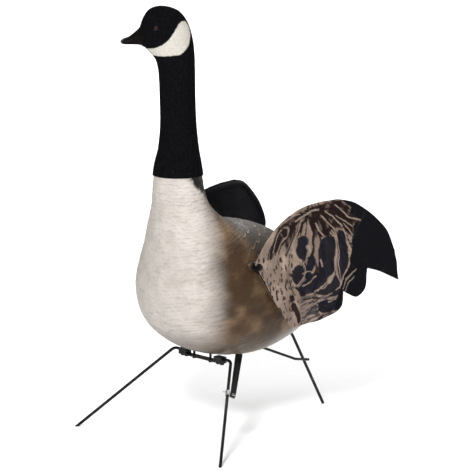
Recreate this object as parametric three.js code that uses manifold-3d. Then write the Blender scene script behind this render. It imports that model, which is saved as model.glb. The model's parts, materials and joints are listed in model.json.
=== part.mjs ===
// Flapping-wing goose decoy: a hollow goose body on a three-legged wire stand, with fabric wings
// that rise when a pull rod under the belly is drawn back.
//
// Millimetres, +Z up. The goose faces -Y and its left side is +X. Sizes below are written with the
// neck's axis at X = 0, Y = 0 and the ground at Z = 0; the finished group is then moved along Y so
// that the origin lies under the middle of the whole decoy.
import * as THREE from 'three';
import { mergeVertices } from 'three/addons/utils/BufferGeometryUtils.js';
import Module from 'manifold-3d';

const wasm = await Module();
wasm.setup();

// ---------------------------------------------------------------- driving dimensions
const GAP = 0.3; // clearance between touching pieces
const WALL = 3.2; // moulded shell wall
const NECK_Z = 522; // height of the joint between body and neck
const NECK_R = 47; // body neck at that joint
const SPIGOT_R = 38.5; // spigot that the neck piece slips over
const SPIGOT_LENGTH = 28;
const HEAD_TURN = -35; // degrees, the head looks to the goose's right

const AXLE = { y: 74, z: 352, r: 4 }; // transverse axle that carries both wings
const PIVOT = { y: 128, z: 188, r: 2.9 }; // pivot of the pull lever
const LINKAGE_X = 16; // plane of lever, link and crank
const LEVER_ARM = 60; // pivot to link pin
const LEVER_LIFT = 8; // degrees, front arm above level at rest
const CRANK_ARM = 20; // axle to crank pin
const CRANK_LIFT = 24; // degrees, crank above level at rest

const LEG_R = 3; // 6 mm steel wire legs
const LEG_Z = 158.8; // height of the legs' clamped ends in front
const CROSSBAR_Y = 62;
const CLAMP_IN = 40; // clamp block, nearest and farthest X
const CLAMP_OUT = 62;
const FOOT = { x: 209.4, y: -83.1 }; // front feet
const REAR_LEG = { x: -12, z: 186.2, cornerY: 299.5, footY: 403.5 };

const WING_X = 144; // fabric at the axle
const FABRIC = 3; // fabric, with its hems, as a solid panel
const WIRE_R = 2.2; // wing wires

// Body stations: front or bottom point (y, z), back or top point (y, z), half width, and how far
// the widest place lies towards the bottom.
const BODY_STATIONS = [
  [-47, 522, 47, 522, 47, 0],
  [-48, 492, 50, 494, 51, 0],
  [-49, 458, 61, 464, 58, 0],
  [-49, 418, 86, 438, 77, 0.05],
  [-49, 378, 118, 423, 95, 0.08],
  [-53, 334, 150, 417, 114, 0.1],
  [-57, 278, 192, 405, 133, 0.12],
  [-39, 222, 228, 389, 140, 0.12],
  [14, 180, 264, 372, 139, 0.12],
  [83, 157, 302, 358, 130, 0.1],
  [152, 151, 342, 347, 116, 0.1],
  [220, 169, 380, 338, 98, 0.08],
  [282, 212, 418, 330, 77, 0.05],
  [348, 249, 452, 321, 59, 0],
  [423, 278, 480, 312, 48, 0],
  [494, 294, 503, 304, 40, 0],
];

// Head stations, with the bill along +f: throat or under-bill point (f, z), nape or crown point
// (f, z) and half width.
const HEAD_STATIONS = [
  [49, 522, -49, 522, 49],
  [45.5, 545, -45.5, 545, 45.5],
  [38, 575, -40.5, 575, 39.5],
  [34, 620, -36, 620, 35],
  [34.5, 670, -34, 670, 34.5],
  [36.5, 718, -33.5, 722, 35],
  [41, 741, -32.5, 755, 34.5],
  [47, 751, -29, 784, 33.5],
  [54, 758.5, -20, 814, 32.5],
  [61, 766.5, -2, 837, 31],
  [66, 770, 26, 846.5, 29],
  [70, 771.8, 50, 842.5, 25],
  [74, 773, 63, 828.5, 19],
  [78, 773.3, 71, 808, 15],
  [84, 773.6, 81, 798, 12.5],
  [93, 773.8, 92, 789.5, 11.5],
  [101, 774, 101, 786.3, 10.5],
  [106, 775.5, 106.5, 783, 7.5],
  [108.5, 778, 108.7, 780.5, 3],
];

// Wing panel, seen from the side and measured from the axle (back, up): where each column of the
// panel starts at the top edge and ends at the feathered bottom edge.
const WING_COLUMNS = [
  [[-6, 6], [72, -129]],
  [[26, 43], [108, -125]],
  [[67, 75], [143, -122]],
  [[117, 97], [175, -116]],
  [[163, 105], [201, -102]],
  [[195, 106], [208, -73]],
  [[211, 106], [221, -81]],
  [[240, 99], [240, -88]],
  [[257, 89], [257, -71]],
  [[274.5, 76], [267, -35]],
  [[293, 59], [292, -43]],
  [[315, 34], [314, -54]],
  [[331, -5], [335, -65]],
];
const LEADING_WIRE = [
  [9.5, 8.5], [29, 36], [69, 67], [118, 89], [164, 97], [211, 98], [240, 91], [267, 74], [296, 46],
  [316, 14], [324, -16],
];
const ROOT_WIRE = [[5.9, -11.3], [40, -67], [77, -120]];

// ---------------------------------------------------------------- materials
const paint = (color, roughness, metalness = 0) => () =>
  new THREE.MeshStandardMaterial({ color, roughness, metalness });
const shellPlastic = paint(0xcfc6b6, 0.7);
const flock = paint(0x0b0b0c, 0.95);
const glassBead = paint(0x15100c, 0.1);
const wingCloth = paint(0x8d7d70, 0.9);
const blackSteel = paint(0x141414, 0.45, 0.6);
const zincSteel = paint(0xb4b6b8, 0.35, 0.9);
const nylon = paint(0x1c1c1c, 0.5);
const rubber = paint(0x101010, 0.8);

// ---------------------------------------------------------------- geometry helpers
const v3 = (x, y, z) => new THREE.Vector3(x, y, z);
const rad = THREE.MathUtils.degToRad;

function cleaned(geometry) {
  const bare = geometry.index ? geometry.clone() : mergeVertices(stripped(geometry.clone()));
  return mergeVertices(stripped(bare), 1e-4);
}

function stripped(geometry) {
  for (const name of Object.keys(geometry.attributes)) {
    if (name !== 'position') geometry.deleteAttribute(name);
  }
  return geometry;
}

function solid(geometry) {
  const g = cleaned(geometry);
  const mesh = new wasm.Mesh({
    numProp: 3,
    vertProperties: new Float32Array(g.attributes.position.array),
    triVerts: new Uint32Array(g.index.array),
  });
  return new wasm.Manifold(mesh);
}

function fromSolid(manifold) {
  const mesh = manifold.getMesh();
  const geometry = new THREE.BufferGeometry();
  geometry.setAttribute('position', new THREE.BufferAttribute(mesh.vertProperties, 3));
  geometry.setIndex(new THREE.BufferAttribute(mesh.triVerts, 1));
  geometry.computeVertexNormals();
  return geometry;
}

const join = (...geometries) => fromSolid(geometries.map(solid).reduce((a, b) => a.add(b)));
const cut = (geometry, ...tools) =>
  fromSolid(tools.map(solid).reduce((a, b) => a.subtract(b), solid(geometry)));

// A closed solid from rings of points that all have the same count.
function loft(rings) {
  const count = rings[0].length;
  const points = rings.flat();
  const faces = [];
  for (let i = 0; i < rings.length - 1; i++) {
    for (let j = 0; j < count; j++) {
      const a = i * count + j;
      const b = i * count + ((j + 1) % count);
      faces.push(a, b, b + count, a, b + count, a + count);
    }
  }
  for (const [ring, start] of [[rings[0], 0], [rings.at(-1), (rings.length - 1) * count]]) {
    const middle = ring.reduce((sum, p) => sum.add(p), v3(0, 0, 0)).divideScalar(count);
    points.push(middle);
    for (let j = 0; j < count; j++) {
      const edge = [start + j, start + ((j + 1) % count)];
      if (start === 0) edge.reverse();
      faces.push(points.length - 1, ...edge);
    }
  }
  return outward(points, faces);
}

// Faces turned so that they all point out of the solid.
function outward(points, faces) {
  let volume = 0;
  for (let i = 0; i < faces.length; i += 3) {
    const [a, b, c] = [0, 1, 2].map((k) => points[faces[i + k]]);
    volume += a.dot(v3(0, 0, 0).crossVectors(b, c));
  }
  if (volume < 0) faces.reverse();
  const geometry = new THREE.BufferGeometry().setFromPoints(points);
  geometry.setIndex(faces);
  geometry.computeVertexNormals();
  return geometry;
}

// Catmull-Rom through rows of numbers.
function smoothRows(rows, count) {
  return Array.from({ length: count }, (_, n) => {
    const t = (n / (count - 1)) * (rows.length - 1);
    const i = Math.min(Math.floor(t), rows.length - 2);
    const u = t - i;
    const [p0, p1, p2, p3] = [-1, 0, 1, 2].map(
      (k) => rows[Math.min(Math.max(i + k, 0), rows.length - 1)],
    );
    return p1.map((_, k) => {
      const slope = (p2[k] - p0[k]) * u;
      const bend = (2 * p0[k] - 5 * p1[k] + 4 * p2[k] - p3[k]) * u * u;
      const twist = (3 * p1[k] - p0[k] - 3 * p2[k] + p3[k]) * u * u * u;
      return (2 * p1[k] + slope + bend + twist) / 2;
    });
  });
}

// One oval section between a low point and a high point of the middle plane, drawn in by inset.
function ovalRing([lowY, lowZ, highY, highZ, halfWidth, droop = 0], inset, sides) {
  const middle = v3(0, (lowY + highY) / 2, (lowZ + highZ) / 2);
  const reach = v3(0, (highY - lowY) / 2, (highZ - lowZ) / 2);
  const length = reach.length();
  reach.multiplyScalar((length - inset) / length);
  return Array.from({ length: sides }, (_, j) => {
    const angle = ((j + 0.5) / sides) * 2 * Math.PI;
    const side = (halfWidth - inset) * Math.sin(angle) * (1 - droop * Math.cos(angle));
    return middle.clone().addScaledVector(reach, Math.cos(angle)).add(v3(side, 0, 0));
  });
}

function box(x0, x1, y0, y1, z0, z1) {
  const geometry = new THREE.BoxGeometry(x1 - x0, y1 - y0, z1 - z0);
  return geometry.translate((x0 + x1) / 2, (y0 + y1) / 2, (z0 + z1) / 2);
}

// A cylinder or hexagon from one point to another.
function rod(from, to, radius, sides = 16) {
  const way = to.clone().sub(from);
  const geometry = new THREE.CylinderGeometry(radius, radius, way.length(), sides);
  geometry.applyQuaternion(new THREE.Quaternion().setFromUnitVectors(v3(0, 1, 0), way.normalize()));
  return geometry.translate(...from.clone().add(to).divideScalar(2).toArray());
}

const acrossX = (x0, x1, y, z, radius, sides = 18) => rod(v3(x0, y, z), v3(x1, y, z), radius, sides);
const ring = (x0, x1, y, z, outer, inner) =>
  cut(acrossX(x0, x1, y, z, outer), acrossX(x0 - 1, x1 + 1, y, z, inner));

// A round wire through corner points, with the corners rounded to a bend radius.
function bentWire(corners, radius, bend, sides = 10) {
  const path = [corners[0].clone()];
  for (let i = 1; i < corners.length - 1; i++) {
    const back = corners[i - 1].clone().sub(corners[i]).normalize();
    const ahead = corners[i + 1].clone().sub(corners[i]).normalize();
    const half = back.angleTo(ahead) / 2;
    const reach = bend / Math.tan(half);
    const middle = back.clone().add(ahead).normalize();
    const centre = corners[i].clone().addScaledVector(middle, bend / Math.sin(half));
    const start = corners[i].clone().addScaledVector(back, reach).sub(centre);
    const end = corners[i].clone().addScaledVector(ahead, reach).sub(centre);
    const axis = v3(0, 0, 0).crossVectors(start, end).normalize();
    const turn = start.angleTo(end);
    const steps = Math.max(3, Math.round(turn / 0.2));
    for (let k = 0; k <= steps; k++) {
      path.push(start.clone().applyAxisAngle(axis, (turn * k) / steps).add(centre));
    }
  }
  path.push(corners.at(-1).clone());
  return tube(path, radius, sides);
}

// A closed tube through a list of points, its section carried along without twist.
function tube(path, radius, sides = 10) {
  const ways = path.map((_, i) => {
    const from = path[Math.max(i - 1, 0)];
    return path[Math.min(i + 1, path.length - 1)].clone().sub(from).normalize();
  });
  let side = v3(0, 0, 1).cross(ways[0]);
  if (side.length() < 0.1) side = v3(1, 0, 0).cross(ways[0]);
  const rings = path.map((point, i) => {
    side.addScaledVector(ways[i], -side.dot(ways[i])).normalize();
    const up = ways[i].clone().cross(side);
    return Array.from({ length: sides }, (_, j) => {
      const angle = (j / sides) * 2 * Math.PI;
      const out = side.clone().multiplyScalar(radius * Math.cos(angle));
      return out.addScaledVector(up, radius * Math.sin(angle)).add(point);
    });
  });
  return loft(rings);
}

// A headed bolt: head, then a shank towards the tip.
function bolt(headEnd, way, headHeight, headRadius, shankLength, shankRadius, headSides = 6) {
  const under = headEnd.clone().addScaledVector(way, headHeight);
  const tip = under.clone().addScaledVector(way, shankLength);
  const root = under.clone().addScaledVector(way, -headHeight / 2);
  return join(rod(headEnd, under, headRadius, headSides), rod(root, tip, shankRadius, 12));
}

const mirrored = (geometry) => {
  const g = geometry.clone().scale(-1, 1, 1);
  const index = Array.from(g.index.array).reverse();
  g.setIndex(index);
  g.computeVertexNormals();
  return g;
};

// ---------------------------------------------------------------- the assembly
const decoy = new THREE.Group();

function add(name, geometry, material) {
  const mesh = new THREE.Mesh(geometry, material());
  mesh.name = name;
  decoy.add(mesh);
}

function addPair(name, leftGeometry, material) {
  add(`left_${name}`, leftGeometry, material);
  add(`right_${name}`, mirrored(leftGeometry), material);
}

// ---------------------------------------------------------------- body shell
const BOSS = { r: 9.5, face: 133, inner: 112, hole: 6.3 };
const BELLY_OPENING = { x0: -26, x1: 46, y0: 100, y1: 284, top: 215 };

function bodyShell() {
  const sides = 32;
  const outer = smoothRows(BODY_STATIONS, 25).map((row) => ovalRing(row, 0, sides));
  outer[0].forEach((point) => point.setZ(NECK_Z - GAP));
  const inner = smoothRows(BODY_STATIONS, 25).slice(0, -1).map((row) => ovalRing(row, WALL, sides));
  inner.forEach((points) => points.forEach((p) => p.setZ(Math.min(p.z, NECK_Z - GAP - WALL))));
  const neckTop = NECK_Z + SPIGOT_LENGTH;
  const hollow = [loft(inner), rod(v3(0, 0, 500), v3(0, 0, neckTop + 1), SPIGOT_R - WALL, 36)];
  const spigot = rod(v3(0, 0, NECK_Z - 8), v3(0, 0, neckTop), SPIGOT_R, 36);
  const bosses = [-1, 1].map((s) =>
    acrossX(s * BOSS.inner, s * BOSS.face, AXLE.y, AXLE.z, BOSS.r));
  const holes = [-1, 1].map((s) => acrossX(s * 100, s * 150, AXLE.y, AXLE.z, BOSS.hole));
  const o = BELLY_OPENING;
  const opening = box(o.x0, o.x1, o.y0, o.y1, 120, o.top);
  const boltHoles = [-1, 1].map((s) =>
    rod(v3(s * BODY_BOLT_X, CROSSBAR_Y, 140), v3(s * BODY_BOLT_X, CROSSBAR_Y, 200), 3.2, 12));
  const hollowed = cut(join(loft(outer), spigot), ...hollow);
  return cut(join(hollowed, ...bosses), ...holes, opening, ...boltHoles);
}

const BODY_BOLT_X = 23.5;
const shell = bodyShell();
const halfGap = GAP / 2;
add('left_body_shell', cut(shell, box(-300, halfGap, -300, 700, 0, 700)), shellPlastic);
add('right_body_shell', cut(shell, box(-halfGap, 300, -300, 700, 0, 700)), shellPlastic);

// ---------------------------------------------------------------- head and neck
function headPiece() {
  const rows = smoothRows(HEAD_STATIONS, 30).map(([f1, z1, f2, z2, w]) => [-f1, z1, -f2, z2, w]);
  const skin = loft(rows.map((row) => ovalRing(row, 0, 22)));
  const socket = rod(v3(0, 0, NECK_Z - 5), v3(0, 0, NECK_Z + SPIGOT_LENGTH + 2), SPIGOT_R + 0.8, 36);
  const hollow = loft(rows.slice(3, -8).map((row) => ovalRing(row, WALL, 16)));
  return cut(skin, socket, hollow, ...[-1, 1].map((s) => eyeball(s, EYE_R + GAP)));
}

const EYE_R = 5.5;
const EYE = { side: 26.5, forward: 44, z: 807.5 };
const eyeball = (s, radius) =>
  new THREE.SphereGeometry(radius, 10, 7).translate(s * EYE.side, -EYE.forward, EYE.z);
const turned = (geometry) => geometry.rotateZ(rad(HEAD_TURN));
add('head_neck', turned(headPiece()), flock);
add('left_eye', turned(eyeball(1, EYE_R)), glassBead);
add('right_eye', turned(eyeball(-1, EYE_R)), glassBead);

// ---------------------------------------------------------------- stand
const CROSSBAR_TOP = 153.8;
const CROSSBAR_THICK = 3.2;
const STOCK = 5; // thickness of the keel
const CLAMP_TOP = 163;
const KEEL = { x0: -22, x1: -2, y0: 50, y1: 252, z: 175.5 };
const SADDLE = { half: 28, depth: 8, z: 171.2 };
const BOLT_HEAD = 3;
const BOLT_HEAD_R = 4.4;
const frontBolts = [CLAMP_IN + 5.5, CLAMP_OUT - 5.5];
const hole = (x, y, z0, z1, r) => rod(v3(x, y, z0), v3(x, y, z1), r, 12);

function crossbar() {
  const foot = CROSSBAR_TOP - CROSSBAR_THICK;
  const bar = box(-CLAMP_OUT, CLAMP_OUT, CROSSBAR_Y - 7, CROSSBAR_Y + 7, foot, CROSSBAR_TOP);
  const places = [...frontBolts, BODY_BOLT_X].flatMap((x) => [x, -x]);
  return cut(bar, ...places.map((x) => hole(x, CROSSBAR_Y, 140, 165, 2.9)));
}

function frontClamp() {
  const block = box(CLAMP_IN, CLAMP_OUT, CROSSBAR_Y - 7, CROSSBAR_Y + 7, CROSSBAR_TOP + GAP, CLAMP_TOP);
  const bore = acrossX(CLAMP_IN + 3, CLAMP_OUT + 1, CROSSBAR_Y, LEG_Z, LEG_R + GAP, 16);
  return cut(block, bore, ...frontBolts.map((x) => hole(x, CROSSBAR_Y, 150, LEG_Z, 2.9)));
}

// A leg's lower end is cut level, so that it stands flat.
function leg(corners, bend) {
  const foot = corners.at(-1);
  const away = foot.clone().sub(corners.at(-2)).normalize();
  const wire = bentWire([...corners.slice(0, -1), foot.addScaledVector(away, 6)], LEG_R, bend);
  return cut(wire, box(-300, 300, -300, 500, -20, 0));
}

function frontLeg() {
  return leg([
    v3(CLAMP_IN + 4, CROSSBAR_Y, LEG_Z), v3(82, CROSSBAR_Y, LEG_Z), v3(FOOT.x, FOOT.y, 0),
  ], 14);
}

function rearLeg() {
  const { x, z, cornerY, footY } = REAR_LEG;
  return leg([v3(x, REAR_CLAMP.y0 + 3, z), v3(x, cornerY, z), v3(x, footY, 0)], 70);
}

const REAR_CLAMP = { y0: 226, y1: 250, top: 191.8 };
const rearBolts = [REAR_CLAMP.y0 + 6, REAR_CLAMP.y1 - 6];
const keelTop = KEEL.z + STOCK;
const footTop = keelTop + 2.8; // feet of the bracket and the post
const KEEL_X = (KEEL.x0 + KEEL.x1) / 2;
const bracketScrews = [118, 138];
const postScrews = [79, 89];

function rearClamp() {
  const block = box(KEEL.x0 + 1, KEEL.x1 - 1, REAR_CLAMP.y0, REAR_CLAMP.y1, keelTop + GAP, REAR_CLAMP.top);
  const bore = rod(v3(REAR_LEG.x, REAR_CLAMP.y0 + 2, REAR_LEG.z), v3(REAR_LEG.x, 260, REAR_LEG.z),
    LEG_R + GAP, 16);
  return cut(block, bore, ...rearBolts.map((y) => hole(KEEL_X, y, 160, REAR_LEG.z, 2.9)));
}

function keel() {
  const bar = box(KEEL.x0, KEEL.x1, KEEL.y0, KEEL.y1, KEEL.z, keelTop);
  const holes = [...rearBolts.map((y) => hole(KEEL_X, y, 160, 190, 2.9)),
    ...[...bracketScrews, ...postScrews].map((y) => hole(KEEL_X, y, 160, 190, 2.4))];
  return cut(bar, ...holes);
}

function saddle() {
  const s = SADDLE;
  const plate = box(-s.half, s.half, CROSSBAR_Y - s.depth, CROSSBAR_Y + s.depth, s.z, s.z + 4);
  return cut(plate, ...[-1, 1].map((k) => hole(k * BODY_BOLT_X, CROSSBAR_Y, 160, 180, 2.9)));
}

add('crossbar', crossbar(), blackSteel);
addPair('leg_clamp', frontClamp(), blackSteel);
addPair('front_leg', frontLeg(), blackSteel);
const boltFoot = CROSSBAR_TOP - CROSSBAR_THICK - GAP - BOLT_HEAD;
const up = v3(0, 0, 1);
frontBolts.forEach((x, i) => {
  addPair(`clamp_bolt_${i + 1}`, bolt(v3(x, CROSSBAR_Y, boltFoot), up, BOLT_HEAD, BOLT_HEAD_R,
    LEG_Z - LEG_R - GAP - boltFoot - BOLT_HEAD, 2.5), blackSteel);
});
addPair('body_bolt', bolt(v3(BODY_BOLT_X, CROSSBAR_Y, boltFoot), up, BOLT_HEAD, BOLT_HEAD_R, 24.5, 2.5),
  blackSteel);
add('saddle_plate', saddle(), zincSteel);
add('keel_bar', keel(), zincSteel);
add('rear_leg_clamp', rearClamp(), blackSteel);
add('rear_leg', rearLeg(), blackSteel);
rearBolts.forEach((y, i) => {
  const foot = KEEL.z - GAP - BOLT_HEAD;
  add(`rear_clamp_bolt_${i + 1}`, bolt(v3(KEEL_X, y, foot), up, BOLT_HEAD, BOLT_HEAD_R,
    REAR_LEG.z - LEG_R - GAP - foot - BOLT_HEAD, 2.5), blackSteel);
});

// ---------------------------------------------------------------- lever bracket and axle post
const EAR = { inner: 4, outer: 28, thick: 4 };

function leverBracket() {
  const [y0, y1] = [PIVOT.y - 16, PIVOT.y + 16];
  const foot = box(KEEL.x0 + 1, EAR.inner + EAR.thick, y0, y1, keelTop + GAP, footTop);
  const leftEar = box(EAR.outer - EAR.thick, EAR.outer, y0, y1, 177, 208);
  const rightEar = box(EAR.inner, EAR.inner + EAR.thick, y0, y1, keelTop + GAP, 208);
  const bridge = box(EAR.inner, EAR.outer, y0, y1, 204, 208);
  const bore = acrossX(0, 35, PIVOT.y, PIVOT.z, PIVOT.r + GAP, 20);
  const screwHoles = bracketScrews.map((y) => hole(KEEL_X, y, 170, 190, 2.4));
  return cut(join(foot, leftEar, rightEar, bridge), bore, ...screwHoles);
}

function axlePost() {
  const foot = box(KEEL.x0, KEEL.x1, AXLE.y - 18, AXLE.y + 20, keelTop + GAP, footTop);
  const upright = box(KEEL.x0, KEEL.x0 + 5, AXLE.y - 10, AXLE.y + 10, keelTop + GAP, AXLE.z + 12);
  const bore = acrossX(KEEL.x0 - 1, KEEL.x0 + 6, AXLE.y, AXLE.z, AXLE.r + 0.35);
  return cut(join(foot, upright), bore, ...postScrews.map((y) => hole(KEEL_X, y, 170, 190, 2.4)));
}

const down = v3(0, 0, -1);
const keelScrew = (y) => bolt(v3(KEEL_X, y, footTop + GAP + 3), down, 3, 4, 9, 2, 12);
const across = v3(-1, 0, 0);
add('lever_bracket', leverBracket(), zincSteel);
bracketScrews.forEach((y, i) => add(`bracket_screw_${i + 1}`, keelScrew(y), zincSteel));
add('lever_pivot_pin', bolt(v3(EAR.outer + GAP + 3, PIVOT.y, PIVOT.z), across, 3, 5,
  EAR.outer - EAR.inner + 5, PIVOT.r, 20), zincSteel);
add('lever_pivot_clip', ring(EAR.inner - GAP - 1.5, EAR.inner - GAP, PIVOT.y, PIVOT.z, 4.4,
  PIVOT.r + GAP / 2), zincSteel);
add('axle_post', axlePost(), zincSteel);
postScrews.forEach((y, i) => add(`post_screw_${i + 1}`, keelScrew(y), zincSteel));

// ---------------------------------------------------------------- wing axle and wings
const FLANGE = 2;
const bushFace = BOSS.face + GAP + FLANGE;

function axleBush() {
  const sleeve = acrossX(BOSS.inner + 2, BOSS.face + 1, AXLE.y, AXLE.z, BOSS.hole - GAP);
  const flange = acrossX(BOSS.face + GAP, bushFace, AXLE.y, AXLE.z, 8);
  const bore = acrossX(BOSS.inner, bushFace + 1, AXLE.y, AXLE.z, AXLE.r + 0.35);
  return cut(join(sleeve, flange), bore);
}

// The panel stands out from the body towards the tip and the bottom, like a cupped hand, and its
// top edge leans in except near the tip.
const wingX = (back, rise) => {
  const upright = rise > 0 ? THREE.MathUtils.smoothstep(back, 215, 290) : 0;
  return WING_X + 40 * (back / 330) ** 2 - 11 * (rise / 100) * (1 - upright);
};
const wingPoint = (back, rise, inset = 0) =>
  v3(wingX(back, rise) - inset, AXLE.y + back, AXLE.z + rise);

function wingPanel() {
  const rows = 7;
  const columns = WING_COLUMNS.map(([top, bottom]) =>
    Array.from({ length: rows }, (_, k) => {
      const t = k / (rows - 1);
      return [top[0] + (bottom[0] - top[0]) * t, top[1] + (bottom[1] - top[1]) * t];
    }));
  const rings = columns.map((column) => {
    const face = (inset) => column.map(([back, rise]) => wingPoint(back, rise, inset));
    return [...face(-FABRIC / 2), ...face(FABRIC / 2).reverse()];
  });
  return cut(stripLoft(rings, rows), acrossX(120, 170, AXLE.y, AXLE.z, AXLE.r + 0.5, 20));
}

// A loft of flat strips whose end rings are closed strip by strip.
function stripLoft(rings, rows) {
  const count = rings[0].length;
  const points = rings.flat();
  const faces = [];
  for (let i = 0; i < rings.length - 1; i++) {
    for (let j = 0; j < count; j++) {
      const a = i * count + j;
      const b = i * count + ((j + 1) % count);
      faces.push(a, b, b + count, a, b + count, a + count);
    }
  }
  for (const start of [0, (rings.length - 1) * count]) {
    for (let k = 0; k < rows - 1; k++) {
      const [a, b] = [start + k, start + k + 1];
      const [c, d] = [start + count - 2 - k, start + count - 1 - k];
      if (start === 0) faces.push(a, c, b, a, d, c);
      else faces.push(a, b, c, a, c, d);
    }
  }
  return outward(points, faces);
}

function wingWire(places, steps) {
  const inset = FABRIC / 2 + 2 * GAP + WIRE_R;
  const curve = new THREE.CatmullRomCurve3(places.map(([b, r]) => wingPoint(b, r, inset)));
  return tube(curve.getSpacedPoints(steps), WIRE_R, 8);
}

function crank() {
  const x0 = LINKAGE_X - 6;
  const lift = rad(CRANK_LIFT);
  const pin = [AXLE.y - CRANK_ARM * Math.cos(lift), AXLE.z + CRANK_ARM * Math.sin(lift)];
  const hub = acrossX(x0 - 4, x0 + 4, AXLE.y, AXLE.z, 9);
  const eye = acrossX(x0, x0 + 4, ...pin, 5, 20);
  const arm = box(x0, x0 + 4, -CRANK_ARM, 0, -5, 5);
  arm.rotateX(-lift).translate(0, AXLE.y, AXLE.z);
  const stud = acrossX(x0 + 2, LINKAGE_X + 3.5, ...pin, 2.2, 16);
  const bore = acrossX(x0 - 5, x0 + 5, AXLE.y, AXLE.z, AXLE.r + 0.1);
  const screw = rod(v3(x0 - 1, AXLE.y, AXLE.z), v3(x0 - 1, AXLE.y, AXLE.z + 12), 1.9, 12);
  return cut(join(hub, eye, arm, stud), bore, screw);
}

const SLANT = 1.4; // the fabric leans this much across the root plate
const plateFace = WING_X - FABRIC / 2 - GAP - SLANT;
const rootPlate = ring(bushFace + 2.3, plateFace, AXLE.y, AXLE.z, 9, AXLE.r + 0.1);
const outerFace = WING_X + FABRIC / 2 + SLANT;
const WASHER = 1.6;
const nutStart = outerFace + GAP + WASHER + GAP;
const axleEnd = nutStart + 6;
addPair('axle_bush', axleBush(), nylon);
add('wing_axle', acrossX(-axleEnd, axleEnd, AXLE.y, AXLE.z, AXLE.r), blackSteel);
add('axle_crank', crank(), zincSteel);
add('crank_set_screw', rod(v3(LINKAGE_X - 7, AXLE.y, AXLE.z + AXLE.r + GAP),
  v3(LINKAGE_X - 7, AXLE.y, AXLE.z + 9.5), 1.6, 12), blackSteel);
addPair('inner_washer', ring(bushFace + GAP, bushFace + 2, AXLE.y, AXLE.z, 8, AXLE.r + 0.35), nylon);
addPair('root_plate', rootPlate, blackSteel);
addPair('wing_fabric', wingPanel(), wingCloth);
addPair('leading_wire', wingWire(LEADING_WIRE, 22), blackSteel);
addPair('root_wire', wingWire(ROOT_WIRE, 5), blackSteel);
addPair('outer_washer', ring(outerFace + GAP, outerFace + GAP + WASHER, AXLE.y, AXLE.z, 7.2,
  AXLE.r + 0.1), blackSteel);
addPair('wing_nut', cut(acrossX(nutStart, nutStart + 4, AXLE.y, AXLE.z, 6, 6),
  acrossX(nutStart - 1, nutStart + 5, AXLE.y, AXLE.z, AXLE.r + 0.1)), blackSteel);

// ---------------------------------------------------------------- lever, link and pull rod
const leverLift = rad(LEVER_LIFT);
const linkPin = [PIVOT.y - LEVER_ARM * Math.cos(leverLift), PIVOT.z + LEVER_ARM * Math.sin(leverLift)];
const crankLift = rad(CRANK_LIFT);
const crankPin = [AXLE.y - CRANK_ARM * Math.cos(crankLift), AXLE.z + CRANK_ARM * Math.sin(crankLift)];
const PULL_ROD_R = 2.6;
const PULL_ROD = [[140, 179.3], [219.5, 146.9], [298, 114], [334.9, 107]];
const STRAP_EYE = v3(18.5, 142, 148);

function link() {
  const [x0, x1] = [LINKAGE_X - 1.5, LINKAGE_X + 2.5];
  const way = Math.atan2(crankPin[0] - linkPin[0], crankPin[1] - linkPin[1]);
  const length = Math.hypot(crankPin[0] - linkPin[0], crankPin[1] - linkPin[1]);
  const bar = box(x0, x1, -4, 4, 0, length);
  bar.rotateX(-way).translate(0, ...linkPin);
  const eyes = [[...linkPin, 5.5], [...crankPin, 7]].map((eye) => acrossX(x0, x1, ...eye, 20));
  const lowBore = acrossX(x0 - 1, x1 + 1, ...linkPin, 2.5, 20);
  const slot = [-1.6, 0, 1.6].map((dy) => acrossX(x0 - 1, x1 + 1, crankPin[0] + dy, crankPin[1], 3, 20));
  return cut(join(bar, ...eyes), lowBore, ...slot);
}

const strapWay = () => STRAP_END.clone().sub(STRAP_EYE).normalize();

function lever() {
  const [x0, x1] = [LINKAGE_X + 3, LINKAGE_X + 7];
  const hub = acrossX(EAR.inner + EAR.thick + GAP, EAR.outer - EAR.thick - GAP, PIVOT.y, PIVOT.z, 9);
  const arm = box(x0, x1, -LEVER_ARM, 0, -5, 5);
  arm.rotateX(-leverLift).translate(0, PIVOT.y, PIVOT.z);
  const eye = acrossX(x0, x1, ...linkPin, 5, 20);
  const stud = acrossX(LINKAGE_X - 2.2, x0 + 1, ...linkPin, 2.2, 16);
  const horn = loft([-1, 1].map((s) => [
    v3(21 + 2 * s, PIVOT.y - 5, PIVOT.z), v3(21 + 2 * s, PIVOT.y + 5, PIVOT.z),
    v3(21 + 2 * s, STRAP_EYE.y + 7, STRAP_EYE.z + 6.5), v3(21 + 2 * s, STRAP_EYE.y - 4, STRAP_EYE.z + 6.5),
  ]));
  const lug = rod(STRAP_EYE.clone().addScaledVector(strapNormal(), -5),
    STRAP_EYE.clone().addScaledVector(strapNormal(), 10), 2, 12);
  const start = v3(LINKAGE_X, PIVOT.y, 184.2);
  const way = v3(0, PULL_ROD[1][0] - PULL_ROD[0][0], PULL_ROD[1][1] - PULL_ROD[0][1]).normalize();
  const socket = rod(start, start.clone().addScaledVector(way, 36), 5.5, 20);
  const rodHole = rod(start.clone().addScaledVector(way, 11), start.clone().addScaledVector(way, 40),
    PULL_ROD_R + GAP, 16);
  const bore = acrossX(0, 40, PIVOT.y, PIVOT.z, PIVOT.r + GAP, 20);
  return cut(join(hub, arm, eye, stud, horn, lug, socket), bore, rodHole);
}

// The strap runs from the lever's lug to a clip on the left front leg.
const STRAP = { wide: 15.5, narrow: 10.5, thick: 4 };
const legWay = v3(FOOT.x - 82, FOOT.y - CROSSBAR_Y, -LEG_Z).normalize();
const CLIP_PLACE = v3(82, CROSSBAR_Y, LEG_Z).addScaledVector(legWay, 77.5);
const STRAP_SIDE = v3(0.664, 0.623, -0.415).normalize();
const STRAP_END = CLIP_PLACE.clone().addScaledVector(STRAP_SIDE, 11);

function strapAxes() {
  const along = strapWay();
  const side = STRAP_SIDE.clone().addScaledVector(along, -STRAP_SIDE.dot(along)).normalize();
  return { along, side, normal: along.clone().cross(side).normalize() };
}

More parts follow.
